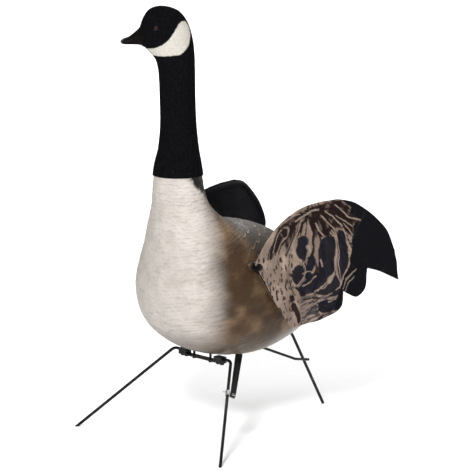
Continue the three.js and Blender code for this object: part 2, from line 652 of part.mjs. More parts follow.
function strapNormal() {
  return strapAxes().normal;
}

function strapRing(centre, halfWidth) {
  const { side, normal } = strapAxes();
  return [[-1, -1], [1, -1], [1, 1], [-1, 1]].map(([a, b]) =>
    centre.clone().addScaledVector(side, a * halfWidth).addScaledVector(normal, (b * STRAP.thick) / 2));
}

function strap() {
  const { along, normal } = strapAxes();
  const from = STRAP_EYE.clone().addScaledVector(along, -6);
  const to = STRAP_END.clone().addScaledVector(along, 3.6);
  const bar = loft([strapRing(from, STRAP.wide / 2), strapRing(STRAP_EYE, STRAP.wide / 2),
    strapRing(STRAP_END, STRAP.narrow / 2), strapRing(to, STRAP.narrow / 2)]);
  const eye = (place) => rod(place.clone().addScaledVector(normal, -8),
    place.clone().addScaledVector(normal, 8), 2 + GAP, 16);
  return cut(bar, eye(STRAP_EYE), eye(STRAP_END));
}

function strapClip() {
  const { along, side, normal } = strapAxes();
  const sleeve = rod(CLIP_PLACE.clone().addScaledVector(legWay, -5),
    CLIP_PLACE.clone().addScaledVector(legWay, 5), LEG_R + 2, 20);
  const bore = rod(CLIP_PLACE.clone().addScaledVector(legWay, -12),
    CLIP_PLACE.clone().addScaledVector(legWay, 12), LEG_R + GAP, 16);
  const under = -STRAP.thick / 2 - GAP;
  const corner = (a, s, n) => CLIP_PLACE.clone().addScaledVector(along, a)
    .addScaledVector(side, s).addScaledVector(normal, n);
  const tab = loft([3.5, 16].map((s) => [
    corner(-5, s, under - 1.6), corner(5, s, under - 1.6), corner(5, s, under), corner(-5, s, under),
  ]));
  const tongue = rod(CLIP_PLACE.clone().addScaledVector(side, -4),
    CLIP_PLACE.clone().addScaledVector(side, -10), 1.5, 12);
  const rivetHole = rod(STRAP_END.clone().addScaledVector(normal, -9),
    STRAP_END.clone().addScaledVector(normal, 9), 2 + GAP, 16);
  return cut(join(sleeve, tab, tongue), bore, rivetHole);
}

function strapRivet() {
  const { normal } = strapAxes();
  const reach = STRAP.thick / 2 + GAP;
  return bolt(STRAP_END.clone().addScaledVector(normal, reach + 1.5), normal.clone().negate(), 1.5, 4,
    STRAP.thick + 4, 2 - 0.1, 16);
}

add('pull_lever', lever(), zincSteel);
add('pull_rod', bentWire(PULL_ROD.map(([y, z]) => v3(LINKAGE_X, y, z)), PULL_ROD_R, 18), blackSteel);
add('drive_link', link(), zincSteel);
add('return_strap', strap(), rubber);
add('strap_clip', strapClip(), zincSteel);
add('strap_rivet', strapRivet(), zincSteel);

// ---------------------------------------------------------------- origin
decoy.updateMatrixWorld(true);
const extent = new THREE.Box3().setFromObject(decoy, true);
decoy.position.y = -(extent.min.y + extent.max.y) / 2;

export default decoy;
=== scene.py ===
"""Looks of the motion wing decoy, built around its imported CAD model. Metres, +Z up.

Shapes are written in millimetres in the neck frame: the neck's axis is at X = 0, Y = 0, the
ground at Z = 0, the goose faces -Y and its left side is +X. place() turns them into the row's
frame.
"""
import json
import math

import bmesh
import bpy
import numpy as np
from mathutils import Matrix, Vector
from mathutils.kdtree import KDTree


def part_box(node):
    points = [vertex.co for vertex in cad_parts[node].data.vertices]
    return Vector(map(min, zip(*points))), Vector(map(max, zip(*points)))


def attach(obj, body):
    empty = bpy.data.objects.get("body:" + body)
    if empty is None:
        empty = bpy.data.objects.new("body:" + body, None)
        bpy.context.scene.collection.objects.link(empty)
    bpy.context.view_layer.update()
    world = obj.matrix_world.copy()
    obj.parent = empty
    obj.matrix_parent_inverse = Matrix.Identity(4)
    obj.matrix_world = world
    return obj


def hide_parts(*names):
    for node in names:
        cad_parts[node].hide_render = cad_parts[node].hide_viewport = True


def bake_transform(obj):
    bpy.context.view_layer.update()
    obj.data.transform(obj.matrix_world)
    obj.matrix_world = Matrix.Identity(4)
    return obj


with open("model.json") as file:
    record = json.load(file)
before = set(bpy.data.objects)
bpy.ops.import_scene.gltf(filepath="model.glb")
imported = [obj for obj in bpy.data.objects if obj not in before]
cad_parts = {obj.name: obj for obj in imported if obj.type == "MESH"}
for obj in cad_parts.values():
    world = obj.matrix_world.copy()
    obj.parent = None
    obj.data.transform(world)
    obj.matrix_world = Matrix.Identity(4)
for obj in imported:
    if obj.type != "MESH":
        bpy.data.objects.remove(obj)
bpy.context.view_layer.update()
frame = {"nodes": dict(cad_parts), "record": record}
scene = bpy.context.scene

AXLE = (74, 352)  # Y and Z of the wing axle
AXLE_LOW, AXLE_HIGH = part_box("wing_axle")
SHIFT_Y = (AXLE_LOW[1] + AXLE_HIGH[1]) / 2 - AXLE[0] / 1000  # the neck's axis in the row's frame
COLLAR_Z = 522  # where the head's lower edge meets the body
WALL = 3.2
SPIGOT_R, SPIGOT_BORE, SOCKET_R = 38.5, 35.3, 38.8  # where the head slips on the body
SKIN_REACH = 0.0022  # metres; a point nearer than this to the outer skin takes its paint

# Sections of the body: front Y, Z, back Y, Z, half width, droop of the widest point.
BODY_STATIONS = [
    (-47, 522, 47, 522, 47, 0), (-48, 492, 50, 494, 51, 0), (-49, 458, 61, 464, 58, 0),
    (-49, 418, 86, 438, 77, 0.05), (-49, 378, 118, 423, 95, 0.08), (-53, 334, 150, 417, 114, 0.1),
    (-57, 278, 192, 405, 133, 0.12), (-39, 222, 228, 389, 140, 0.12), (14, 180, 264, 372, 139, 0.12),
    (83, 157, 302, 358, 130, 0.1), (152, 151, 342, 347, 116, 0.1), (220, 169, 380, 338, 98, 0.08),
    (282, 212, 418, 330, 77, 0.05), (348, 249, 452, 321, 59, 0), (423, 278, 480, 312, 48, 0),
    (494, 294, 503, 304, 40, 0),
]
# Sections of the head and neck: front, Z, back, Z, half width; front and back count forwards.
HEAD_STATIONS = [
    (49, 522, -49, 522, 49), (45.5, 545, -45.5, 545, 45.5), (38, 575, -40.5, 575, 39.5),
    (34, 620, -36, 620, 35), (34.5, 670, -34, 670, 34.5), (36.5, 718, -33.5, 722, 35),
    (41, 741, -32.5, 755, 34.5), (47, 751, -29, 784, 33.5), (54, 758.5, -20, 814, 32.5),
    (61, 766.5, -2, 837, 31), (66, 770, 26, 846.5, 29), (70, 771.8, 50, 842.5, 25),
    (74, 773, 63, 828.5, 19), (78, 773.3, 71, 808, 15), (84, 773.6, 81, 798, 12.5),
    (93, 773.8, 92, 789.5, 11.5), (101, 774, 101, 786.3, 10.5), (106, 775.5, 106.5, 783, 7.5),
    (108.5, 778, 108.7, 780.5, 3),
]
HEAD_ROWS = [(-f0, z0, -f1, z1, w, 0) for f0, z0, f1, z1, w in HEAD_STATIONS]
HEAD_TURN = math.radians(-35)
EYE = (26.5, 44, 807.5)  # out, forwards, up
EYE_R = 5.5
# Columns of the wing, upper end and lower end, in millimetres back from the axle and up from it.
WING_COLUMNS = [
    ((-6, 6), (72, -129)), ((26, 43), (108, -125)), ((67, 75), (143, -122)),
    ((117, 97), (175, -116)), ((163, 105), (201, -102)), ((195, 106), (208, -73)),
    ((211, 106), (221, -81)), ((240, 99), (240, -88)), ((257, 89), (257, -71)),
    ((274.5, 76), (267, -35)), ((293, 59), (292, -43)), ((315, 34), (314, -54)),
    ((331, -5), (335, -65)),
]
WING_CORNERS = (0, 5, 9, 12)  # columns where the outline turns sharply
LEADING_WIRE = [
    (9.5, 8.5), (29, 36), (69, 67), (118, 89), (164, 97), (211, 98), (240, 91), (267, 74),
    (296, 46), (316, 14), (324, -16),
]
ROOT_WIRE = [(5.9, -11.3), (40, -67), (77, -120)]


# ------------ small helpers
def place(points):
    """Millimetres in the neck frame to metres in the row's frame."""
    out = np.asarray(points, float).reshape(-1, 3) * 0.001
    out[:, 1] += SHIFT_Y
    return out


def smooth_rows(rows, places):
    """Catmull-Rom through rows of numbers, at places from 0 to 1."""
    rows = np.asarray(rows, float)
    last = len(rows) - 1
    t = np.clip(np.asarray(places, float), 0, 1) * last
    i = np.minimum(t.astype(int), last - 1)
    u = (t - i)[:, None]
    p0, p1, p2, p3 = (rows[np.clip(i + k, 0, last)] for k in (-1, 0, 1, 2))
    return (
        2 * p1 + (p2 - p0) * u + (2 * p0 - 5 * p1 + 4 * p2 - p3) * u**2
        + (3 * p1 - p0 - 3 * p2 + p3) * u**3
    ) / 2


def around(sides):
    """Evenly spaced angles, half a step off the middle plane."""
    return (np.arange(sides) + 0.5) / sides * 2 * np.pi


def ovals(rows, angles, inset=0.0):
    """Points (row, angle, xyz) on the oval sections; angle 0 is the back or top."""
    rows = rows[:, None, :]
    a = np.asarray(angles)[None, :]
    front, back = (np.insert(rows[..., k:k + 2], 0, 0, axis=-1) for k in (0, 2))
    mid, reach = (front + back) / 2, (back - front) / 2
    length = np.linalg.norm(reach, axis=-1, keepdims=True)
    reach = reach * np.maximum(length - inset, 0.2) / length
    side = np.maximum(rows[..., 4] - inset, 0.2) * np.sin(a) * (1 - rows[..., 5] * np.cos(a))
    out = mid + reach * np.cos(a)[..., None]
    out[..., 0] += side
    return out


def build(name, points, faces, smooth=True):
    mesh = bpy.data.meshes.new(name)
    mesh.from_pydata(np.asarray(points).tolist(), [], [list(map(int, f)) for f in faces])
    mesh.polygons.foreach_set("use_smooth", [smooth] * len(mesh.polygons))
    obj = bpy.data.objects.new(name, mesh)
    scene.collection.objects.link(obj)
    return obj


def tube_faces(rows, cols):
    """Quads around a grid of closed rings, and a cap at each end."""
    i = np.arange(rows - 1)[:, None]
    j = np.arange(cols)[None, :]
    k = (j + 1) % cols
    a, b = i * cols + j, i * cols + k
    quads = np.stack([a, b, b + cols, a + cols], -1).reshape(-1, 4)
    ring = np.arange(cols)
    return [*quads, ring[::-1], ring + (rows - 1) * cols]


def outward(obj):
    bm = bmesh.new()
    bm.from_mesh(obj.data)
    bmesh.ops.recalc_face_normals(bm, faces=bm.faces)
    bm.to_mesh(obj.data)
    bm.free()
    return obj


def loft(name, grid, smooth=True):
    return outward(build(name, place(grid), tube_faces(*grid.shape[:2]), smooth))


def unit(v):
    return v / np.linalg.norm(v, axis=-1, keepdims=True)


def tube(name, path, radius, sides):
    """A closed tube through points in mm."""
    path = np.asarray(path, float)
    way = unit(np.gradient(path, axis=0))
    side = np.cross([0, 0, 1.0], way[0])
    if np.linalg.norm(side) < 0.1:
        side = np.cross([1.0, 0, 0], way[0])
    a = np.linspace(0, 2 * np.pi, sides, endpoint=False)
    rings = []
    for p, w in zip(path, way):
        side = unit(side - w * side.dot(w))
        up = np.cross(w, side)
        rings.append(p + radius * (np.cos(a)[:, None] * side + np.sin(a)[:, None] * up))
    return loft(name, np.array(rings))


def resample(points, count):
    """A smooth line through the points, as evenly spaced points."""
    points = np.asarray(points, float)
    fine = smooth_rows(points, np.linspace(0, 1, 40 * len(points)))
    along = np.r_[0, np.cumsum(np.linalg.norm(np.diff(fine, axis=0), axis=1))]
    at = np.linspace(0, along[-1], count)
    return np.stack([np.interp(at, along, fine[:, k]) for k in range(fine.shape[1])], 1)


CUT, JOIN = "DIFFERENCE", "UNION"


def combine(obj, tools):
    """Boolean work with (operation, tool) pairs; the tools are removed afterwards."""
    for operation, tool in tools:
        mod = obj.modifiers.new("cut", "BOOLEAN")
        mod.operation = operation
        mod.solver = "MANIFOLD"
        mod.object = tool
    old = obj.data
    deps = bpy.context.evaluated_depsgraph_get()
    mesh = bpy.data.meshes.new_from_object(obj.evaluated_get(deps))
    obj.modifiers.clear()
    obj.data = mesh
    bpy.data.meshes.remove(old)
    for _, tool in tools:
        bpy.data.objects.remove(tool)


def box_mesh(name, low, high):
    (x0, y0, z0), (x1, y1, z1) = low, high
    rings = [[(x0, y0, z), (x1, y0, z), (x1, y1, z), (x0, y1, z)] for z in (z0, z1)]
    return loft(name, np.array(rings), False)


def hash01(i, j, seed):
    """A repeatable number from 0 to 1 for whole numbers i and j."""
    i, j = np.asarray(i, np.int64), np.asarray(j, np.int64)
    h = (i * 73856093) ^ (j * 19349663) ^ (seed * 83492791)
    h = (h ^ (h >> 13)) * 1274126177
    return ((h ^ (h >> 16)) & 0xFFFFFF) / float(0xFFFFFF)


def noise(x, y, seed):
    """Smooth value noise from -1 to 1."""
    i, j = np.floor(x), np.floor(y)
    u, v = x - i, y - j
    u, v = u * u * (3 - 2 * u), v * v * (3 - 2 * v)
    c = [hash01(i + a, j + b, seed) for b in (0, 1) for a in (0, 1)]
    return 2 * ((c[0] * (1 - u) + c[1] * u) * (1 - v) + (c[2] * (1 - u) + c[3] * u) * v) - 1


def fractal(x, y, seed):
    """Three octaves of noise, from -1 to 1."""
    return sum(noise(x * 2**k, y * 2**k, seed + k) / 2**k for k in range(3)) / 1.75


def ease(low, high, x):
    """0 up to low and 1 from high on, with a smooth step between."""
    t = np.clip((x - low) / (high - low), 0, 1)
    return t * t * (3 - 2 * t)


def mix(a, b, t):
    """Colours between a and b, by one number per point."""
    return a + (np.asarray(b) - a) * np.asarray(t)[..., None]


def shingles(s, c, pitch, width, bulge, seed, jitter):
    """Overlapping feathers, tips towards larger s. Returns how far along its visible stretch each
    point lies (1 is the tip), the distance across from the feather's middle, and its number."""
    first = np.floor(s / pitch)
    along = np.full(np.shape(s), -1.0)
    across = np.zeros(np.shape(s))
    ident = np.zeros(np.shape(s))
    for k in (-2, -1, 0, 1):
        row = first + k
        col_pos = c / width + 0.5 * (row % 2) + 0.3 * (hash01(row, 0, seed + 9) - 0.5)
        col = np.floor(col_pos)
        f = (col_pos - col) * 2 - 1
        wobble = (hash01(row, col, seed) - 0.5) * jitter * pitch
        tip = (row + 1) * pitch + wobble + bulge * (np.sqrt(np.clip(1 - f * f, 0, 1)) - 1)
        open_here = (along < 0) & (s < tip)
        value = 1 - (tip - s) / (pitch + bulge)
        along = np.where(open_here, np.clip(value, 0, 1), along)
        across = np.where(open_here, f, across)
        ident = np.where(open_here, hash01(row, col, seed + 5), ident)
    return np.clip(along, 0, 1), across, ident


def paint_points(obj, name, values):
    """values: one number or one colour per point."""
    values = np.asarray(values, np.float32)
    if values.ndim == 1:
        layer = obj.data.attributes.new(name, "FLOAT", "POINT")
        layer.data.foreach_set("value", values)
    else:
        layer = obj.data.attributes.new(name, "FLOAT_COLOR", "POINT")
        full = np.ones((len(values), 4), np.float32)
        full[:, :3] = values
        layer.data.foreach_set("color", full.ravel())


def grid_arcs(grid):
    """Lengths along the rows and around the columns of a grid of points."""
    down = np.linalg.norm(np.diff(grid, axis=0), axis=-1)
    across = np.linalg.norm(np.diff(grid, axis=1), axis=-1)
    return np.pad(np.cumsum(down, 0), ((1, 0), (0, 0))), np.pad(np.cumsum(across, 1), ((0, 0), (1, 0)))


def grid_normals(grid):
    """Outward normals of a grid of closed rings."""
    n = np.cross(np.gradient(grid, axis=0), np.roll(grid, -1, 1) - np.roll(grid, 1, 1))
    n /= np.linalg.norm(n, axis=-1, keepdims=True) + 1e-9
    return -n if ((grid - grid.mean(1, keepdims=True)) * n).sum() < 0 else n


# ------------ materials
WEAVE = 2600 / 6.28  # scale of the weave's bands


class Paint:
    """A material with short ways to add and join nodes."""

    def __init__(self, name, rough, specular=0.5, metal=0.0):
        self.mat = bpy.data.materials.new(name)
        self.mat.use_nodes = True
        self.tree = self.mat.node_tree
        self.bsdf = self.tree.nodes["Principled BSDF"]
        for key, value in (("Roughness", rough), ("Metallic", metal), ("Specular IOR Level", specular)):
            self.bsdf.inputs[key].default_value = value
        self.where = self.node("ShaderNodeTexCoord").outputs["Object"]

    def node(self, kind, **values):
        n = self.tree.nodes.new(kind)
        for key, value in values.items():
            setattr(n, key, value)
        return n

    def link(self, a, b):
        self.tree.links.new(a, b)

    def feed(self, socket, value):
        if hasattr(value, "links"):
            self.link(value, socket)
        else:
            socket.default_value = value

    def attribute(self, name, kind="Color"):
        return self.node("ShaderNodeAttribute", attribute_name=name).outputs[kind]

    def noise(self, scale, detail, rough=0.55, stretch=(1, 1, 1)):
        n = self.node("ShaderNodeTexNoise")
        for key, value in (("Scale", scale), ("Detail", detail), ("Roughness", rough)):
            n.inputs[key].default_value = value
        m = self.node("ShaderNodeMapping")
        m.inputs["Scale"].default_value = stretch
        self.link(self.where, m.inputs["Vector"])
        self.link(m.outputs["Vector"], n.inputs["Vector"])
        return n.outputs["Fac"]

    def wave(self, scale, axis):
        n = self.node("ShaderNodeTexWave", bands_direction=axis)
        n.inputs["Scale"].default_value = scale
        self.link(self.where, n.inputs["Vector"])
        return n.outputs["Fac"]

    def ramp(self, fac, stops):
        n = self.node("ShaderNodeValToRGB")
        ramp = n.color_ramp
        while len(ramp.elements) < len(stops):
            ramp.elements.new(0.5)
        for e, (pos, colour) in zip(ramp.elements, stops):
            e.position = pos
            e.color = (*colour, 1) if hasattr(colour, "__len__") else (colour, colour, colour, 1)
        self.link(fac, n.inputs["Fac"])
        return n.outputs["Color"]

    def blend(self, fac, a, b, mode="MIX"):
        n = self.node("ShaderNodeMix", data_type="RGBA", blend_type=mode)
        self.feed(n.inputs["Factor"], fac)
        self.feed(n.inputs[6], a)
        self.feed(n.inputs[7], b)
        return n.outputs[2]

    def math(self, op, a, b):
        n = self.node("ShaderNodeMath", operation=op)
        self.feed(n.inputs[0], a)
        self.feed(n.inputs[1], b)
        return n.outputs[0]

    def colour(self, value):
        self.feed(self.bsdf.inputs["Base Color"], value)

    def rough(self, value):
        self.feed(self.bsdf.inputs["Roughness"], value)

    def bump(self, height, distance, strength):
        """Adds a bump on top of those already there."""
        n = self.node("ShaderNodeBump")
        n.inputs["Distance"].default_value = distance
        n.inputs["Strength"].default_value = strength
        self.link(height, n.inputs["Height"])
        old = self.bsdf.inputs["Normal"]
        if old.links:
            self.link(old.links[0].from_socket, n.inputs["Normal"])
        self.link(n.outputs["Normal"], old)


def painted_shell():
    p = Paint("painted_shell", rough=0.5, specular=0.14)
    paint = p.attribute("paint")
    mottle = p.ramp(p.noise(38, 5, 0.62), [(0.3, 0.86), (0.7, 1.08)])
    fine = p.ramp(p.noise(420, 3, 0.6), [(0.3, 0.93), (0.7, 1.05)])
    p.colour(p.blend(1.0, p.blend(1.0, paint, mottle, "MULTIPLY"), fine, "MULTIPLY"))
    p.rough(p.ramp(p.noise(60, 4), [(0.3, 0.36), (0.7, 0.54)]))
    p.bump(p.noise(900, 3, 0.6), 0.00012, 0.6)
    p.bump(p.noise(220, 3, 0.5), 0.0003, 0.5)
    return p.mat


def flocked():
    p = Paint("flocked_black", rough=0.95, specular=0.02)
    specks = p.ramp(p.noise(1150, 2, 0.7), [
        (0.5, (0.001, 0.001, 0.0012)), (0.62, (0.004, 0.004, 0.0046)), (0.74, (0.06, 0.06, 0.066))])
    tufts = p.ramp(p.noise(380, 4, 0.75), [
        (0.4, (0.0006, 0.0006, 0.0008)), (0.62, (0.007, 0.007, 0.008)), (0.74, (0.03, 0.03, 0.033))])
    black = p.blend(0.5, tufts, specks)
    white = p.ramp(p.noise(260, 4, 0.6), [(0.3, (0.37, 0.345, 0.31)), (0.75, (0.50, 0.475, 0.435))])
    horn = p.ramp(p.noise(90, 4), [(0.3, (0.0025, 0.002, 0.002)), (0.7, (0.006, 0.005, 0.0047))])
    # the nail painted a lighter grey than the rest of the bill: a painted highlight
    horn = p.blend(p.attribute("nail", "Fac"), horn, (0.05, 0.047, 0.045, 1))
    on_bill, on_patch = p.attribute("bill", "Fac"), p.attribute("patch", "Fac")
    p.colour(p.blend(on_bill, p.blend(on_patch, black, white), horn))
    p.rough(p.blend(on_bill, p.ramp(on_patch, [(0, 0.95), (1, 0.7)]), (0.36, 0.36, 0.36, 1)))
    p.bump(p.math("MULTIPLY", p.noise(1500, 2, 0.7), p.math("SUBTRACT", 1.0, on_bill)), 0.0005, 0.8)
    return p.mat


def crease_and_weave(p):
    p.bump(p.noise(55, 3, 0.5), 0.0009, 0.4)
    p.bump(p.math("MULTIPLY", p.wave(WEAVE, "Z"), p.wave(WEAVE, "Y")), 0.00012, 0.5)
    return p.mat


def cloth_print():
    p = Paint("printed_cloth", rough=0.9, specular=0.08)
    soak = p.ramp(p.noise(700, 3, 0.65), [(0.25, 0.84), (0.75, 1.1)])
    p.colour(p.blend(1.0, p.attribute("paint"), soak, "MULTIPLY"))
    return crease_and_weave(p)


def cloth_black():
    p = Paint("black_cloth", rough=0.85, specular=0.1)
    shade = p.ramp(p.noise(26, 4, 0.6), [(0.3, (0.003, 0.003, 0.0038)), (0.7, (0.009, 0.009, 0.0115))])
    p.colour(p.blend(p.attribute("edge", "Fac"), shade, (0.33, 0.26, 0.2, 1)))
    return crease_and_weave(p)


def coated(name, rough, specular, colours, roughs=None, bumps=(), metal=0.0):
    """A material from noises: (noise, stops) for its colour and roughness, (noise, depth, strength)
    for each bump."""
    p = Paint(name, rough, specular, metal)
    p.colour(p.ramp(p.noise(*colours[0]), colours[1]))
    if roughs:
        p.rough(p.ramp(p.noise(*roughs[0]), roughs[1]))
    for where, depth, strength in bumps:
        p.bump(p.noise(*where), depth, strength)
    return p.mat


MATERIALS = {
    "shell_plastic": painted_shell(),
    "flocked_head": flocked(),
    "print": cloth_print(),
    "wing_cloth": cloth_black(),
    "inside": coated(
        "moulded_inside", 0.6, 0.5, ((30, 4), [(0.3, (0.20, 0.185, 0.165)), (0.7, (0.25, 0.235, 0.21))]),
        bumps=[((300, 3), 0.0002, 0.5)]),
    "black_steel": coated(
        "black_coated_steel", 0.4, 0.2,
        ((140, 5, 0.7), [(0.66, (0.004, 0.004, 0.0045)), (0.76, (0.035, 0.033, 0.031))]),
        ((80, 3), [(0.3, 0.3), (0.7, 0.5)]), [((900, 3, 0.6), 0.00015, 0.6)]),
    "zinc_steel": coated(
        "zinc_plated_steel", 0.35, 0.5,
        ((120, 4), [(0.3, (0.46, 0.46, 0.45)), (0.7, (0.64, 0.64, 0.62))]),
        ((300, 4, 0.6, (1, 8, 1)), [(0.3, 0.26), (0.7, 0.46)]),
        [((700, 3, 0.6, (1, 6, 1)), 0.00008, 0.6)], metal=1.0),
    "nylon": coated(
        "nylon", 0.45, 0.25, ((90, 3), [(0.3, 0.012), (0.7, 0.024)]), bumps=[((500, 2), 0.0001, 0.5)]),
    "rubber_strap": coated(
        "black_rubber", 0.62, 0.2, ((160, 4, 0.6), [(0.3, 0.006), (0.75, 0.018)]),
        ((90, 3), [(0.3, 0.5), (0.7, 0.72)]), [((1100, 3, 0.6), 0.0002, 0.6)]),
    "eye_bead": coated(
        "eye_bead", 0.3, 0.12,
        ((300, 2), [(0.3, (0.008, 0.005, 0.004)), (0.7, (0.016, 0.010, 0.007))])),
    "floor": coated("pale_floor", 0.8, 0.5, ((3, 2), [(0.3, 0.92), (0.7, 0.94)])),
}


def dress(obj, *names):
    obj.data.materials.clear()
    for name in names:
        obj.data.materials.append(MATERIALS[name])


for part in frame["record"]["subparts"]:
    dress(frame["nodes"][part["node"]], part["material_slot"])


def wire_piece(name, node, path, radius, sides, body):
    """A smooth wire in place of a node; the stand's wires are cut level at the ground."""
    obj = tube(name, path, radius, sides)
    if body == "stand_and_body":
        combine(obj, [(CUT, box_mesh("ground", (-400, -400, -40), (400, 700, 0)))])
    dress(obj, "black_steel")
    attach(obj, body)
    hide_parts(node)


# ------------ body
def rgb(*parts):
    return np.array(parts)


NAPE = rgb(0.012, 0.01, 0.009)
CREAM = rgb(0.45, 0.415, 0.383)
CREAM_SHADE = rgb(0.33, 0.288, 0.25)
TAN = rgb(0.148, 0.09, 0.048)
BROWN = rgb(0.042, 0.023, 0.011)
MANTLE = rgb(0.027, 0.018, 0.012)
PALE_EDGE = rgb(0.26, 0.22, 0.175)
# dark brown for the belly's down-facing surfaces: painted shade
BELLY_SHADE = rgb(0.12, 0.092, 0.07)
VENT = rgb(0.46, 0.44, 0.41)
TAIL = rgb(0.01, 0.009, 0.008)


def body_paint(p, normal, s, c, t):
    """Paint and relief of the body from its surface points (mm), arcs (mm) and place along it."""
    x, y, z = p[..., 0], p[..., 1], p[..., 2]
    up = normal[..., 2]
    wander = 9 * fractal(y / 60, z / 60, 11) + 4 * fractal(y / 17, z / 17, 12)
    # breast: fine wavy ridges; back: larger feathers
    back = ease(0.15, 0.55, up) * ease(62, 110, y) * ease(0.0, 0.30, t)
    back = np.maximum(back, ease(0.74, 0.82, t) * ease(-0.2, 0.3, up))
    warp = 2.2 * fractal(c / 26, s / 34, 3)
    a1, _, _ = shingles(s + warp, c + 5 * fractal(c / 40, s / 40, 4), 6.6, 19, 2.6, 21, 0.8)
    a2, f2, k2 = shingles(s + 2 * warp, c, 23, 31, 13, 31, 0.4)
    flank = ease(4, 42, y + wander) * (1 - back)
    fine = (np.power(a1, 1.5) - 0.45) * (1.55 - 0.75 * flank)
    large = (np.power(a2, 1.4) - 0.45) * 1.6
    relief = fine * (1 - back) + large * back
    relief = relief * np.where(t < 0.1, ease(0, 12, COLLAR_Z - z), 1)

    cream = mix(CREAM, CREAM_SHADE, ease(-0.2, 0.8, fractal(c / 30, s / 22, 5)) * 0.35)
    # darker at the foot of each ridge, beside the tip of the one before: painted shade in the hollows
    # between ridges
    cream = mix(cream, CREAM_SHADE * 0.8, (1 - a1) ** 3 * 0.35)
    # flanks: tan first, then brown clouds
    cloud = fractal(y / 42, z / 38, 7)
    brown = mix(TAN, BROWN, ease(-0.7, 0.6, 1.4 * cloud + 0.5 * ease(0, 70, y) - 0.2))
    # the same painted shade in the hollows between ridges, on the flanks
    brown = mix(brown, BROWN * 0.8, (1 - a1) ** 3 * 0.4)
    line = -6 + 30 * ease(350, 440, z) + 26 * ease(250, 190, z)
    to_flank = ease(-28, 36, y - line + wander)
    colour = mix(cream, brown, to_flank)
    mantle = mix(MANTLE, BROWN * 0.7, ease(-0.3, 0.7, fractal(c / 45, s / 45, 8)) * 0.6)
    edge = ease(0.90, 0.97, a2) * ease(1.0, 0.75, np.abs(f2))
    mantle = mix(mantle, PALE_EDGE, edge * (0.45 + 0.5 * k2) * ease(0.14, 0.26, t))
    colour = mix(colour, mantle, back * ease(20, 70, y))
    # down-facing surfaces painted darker as painted shade: brown below the belly, darker cream below the
    # breast; white below the tail
    shaded_below = ease(0.45, 0.95, -up + 0.08 * cloud)
    colour = mix(colour, mix(BELLY_SHADE, CREAM_SHADE * 0.72, ease(30, -40, y)), shaded_below * 0.8)
    colour = mix(colour, VENT, ease(0.60, 0.72, t) * ease(0.05, -0.35, up))
    colour = mix(colour, TAIL, ease(0.80, 0.84, t + 0.012 * wander / 9) * ease(-0.75, -0.35, up))
    # dark nape
    angle_back = np.abs(np.arctan2(np.abs(x), y - 5)) * 180 / np.pi
    half = np.interp(z, [395, 420, 450, 480, 500, 522], [0, 6, 26, 60, 86, 112])
    nape = ease(8, -8, angle_back - half + 11 * fractal(c / 7, s / 7, 9)) * (z > 390) * (t < 0.3)
    colour = mix(colour, NAPE, nape)
    return colour, relief


def body_skins():
    """The two halves of the body, carved outside and hollow inside."""
    rows, sides = 560, 372
    t = np.linspace(0, 1, rows) ** 1.25
    grid = ovals(smooth_rows(BODY_STATIONS, t), around(sides))
    rim = COLLAR_Z - 0.3
    grid[0, :, 2] = rim
    normal = grid_normals(grid)
    s, c = grid_arcs(grid)
    c = np.abs(c - c[:, sides // 2][:, None])
    colour, relief = body_paint(grid, normal, s, c, t[:, None])
    ends = ease(0, 0.02, t)[:, None]
    seam = np.exp(-((grid[..., 0] / 1.4) ** 2)) * 0.25
    grid = grid + normal * ((relief - 0.35) * ends - seam)[..., None]
    grid[:2, :, 2] = np.minimum(grid[:2, :, 2], rim)

    skin = loft("left_body_skin", grid)
    lookup = KDTree(rows * sides)
    for k, point in enumerate(place(grid)):
        lookup.insert(point, k)
    lookup.balance()
    inner = ovals(smooth_rows(BODY_STATIONS, np.linspace(0, 0.975, 60)), around(72), WALL + 0.6)
    inner[..., 2] = np.minimum(inner[..., 2], COLLAR_Z - 3.5)
    hollow = loft("hollow", inner)
    spigot = tube("spigot", [(0, 0, 514), (0, 0, 550)], SPIGOT_R, 72)
    bore = tube("bore", [(0, 0, 500), (0, 0, 551)], SPIGOT_BORE, 72)
    tools = [(JOIN, spigot), (CUT, hollow), (CUT, bore)]
    tools += [(JOIN, tube("boss", [(k * 112, *AXLE), (k * 133, *AXLE)], 9.5, 40)) for k in (-1, 1)]
    for k in (-1, 1):
        tools.append((CUT, tube("axle_hole", [(k * 100, *AXLE), (k * 150, *AXLE)], 6.3, 40)))
        tools.append((CUT, tube("bolt_hole", [(k * 23.5, 62, 140), (k * 23.5, 62, 200)], 3.2, 24)))
    tools.append((CUT, box_mesh("opening", (-26, 100, 120), (46, 284, 215))))
    combine(skin, tools)
    other = bpy.data.objects.new("right_body_skin", skin.data.copy())
    scene.collection.objects.link(other)
    combine(skin, [(CUT, half_mesh(-300, 0.12))])
    combine(other, [(CUT, half_mesh(300, -0.12))])
    for obj, node in ((skin, "left_body_shell"), (other, "right_body_shell")):
        dress(obj, "shell_plastic", "inside")
        paint_outside(obj, lookup, colour.reshape(-1, 3))
        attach(obj, "stand_and_body")
        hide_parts(node)


def half_mesh(far, cut):
    """A block whose cutting face, at x = cut, is a fine grid, so that no cut face grows large."""
    edge = [(cut, z) for z in np.linspace(700, 0, 141)] + [(far, 0), (far, 700)]
    rings = [[(x, y, z) for x, z in edge] for y in np.linspace(-300, 700, 201)]
    return loft("half", np.array(rings), False)


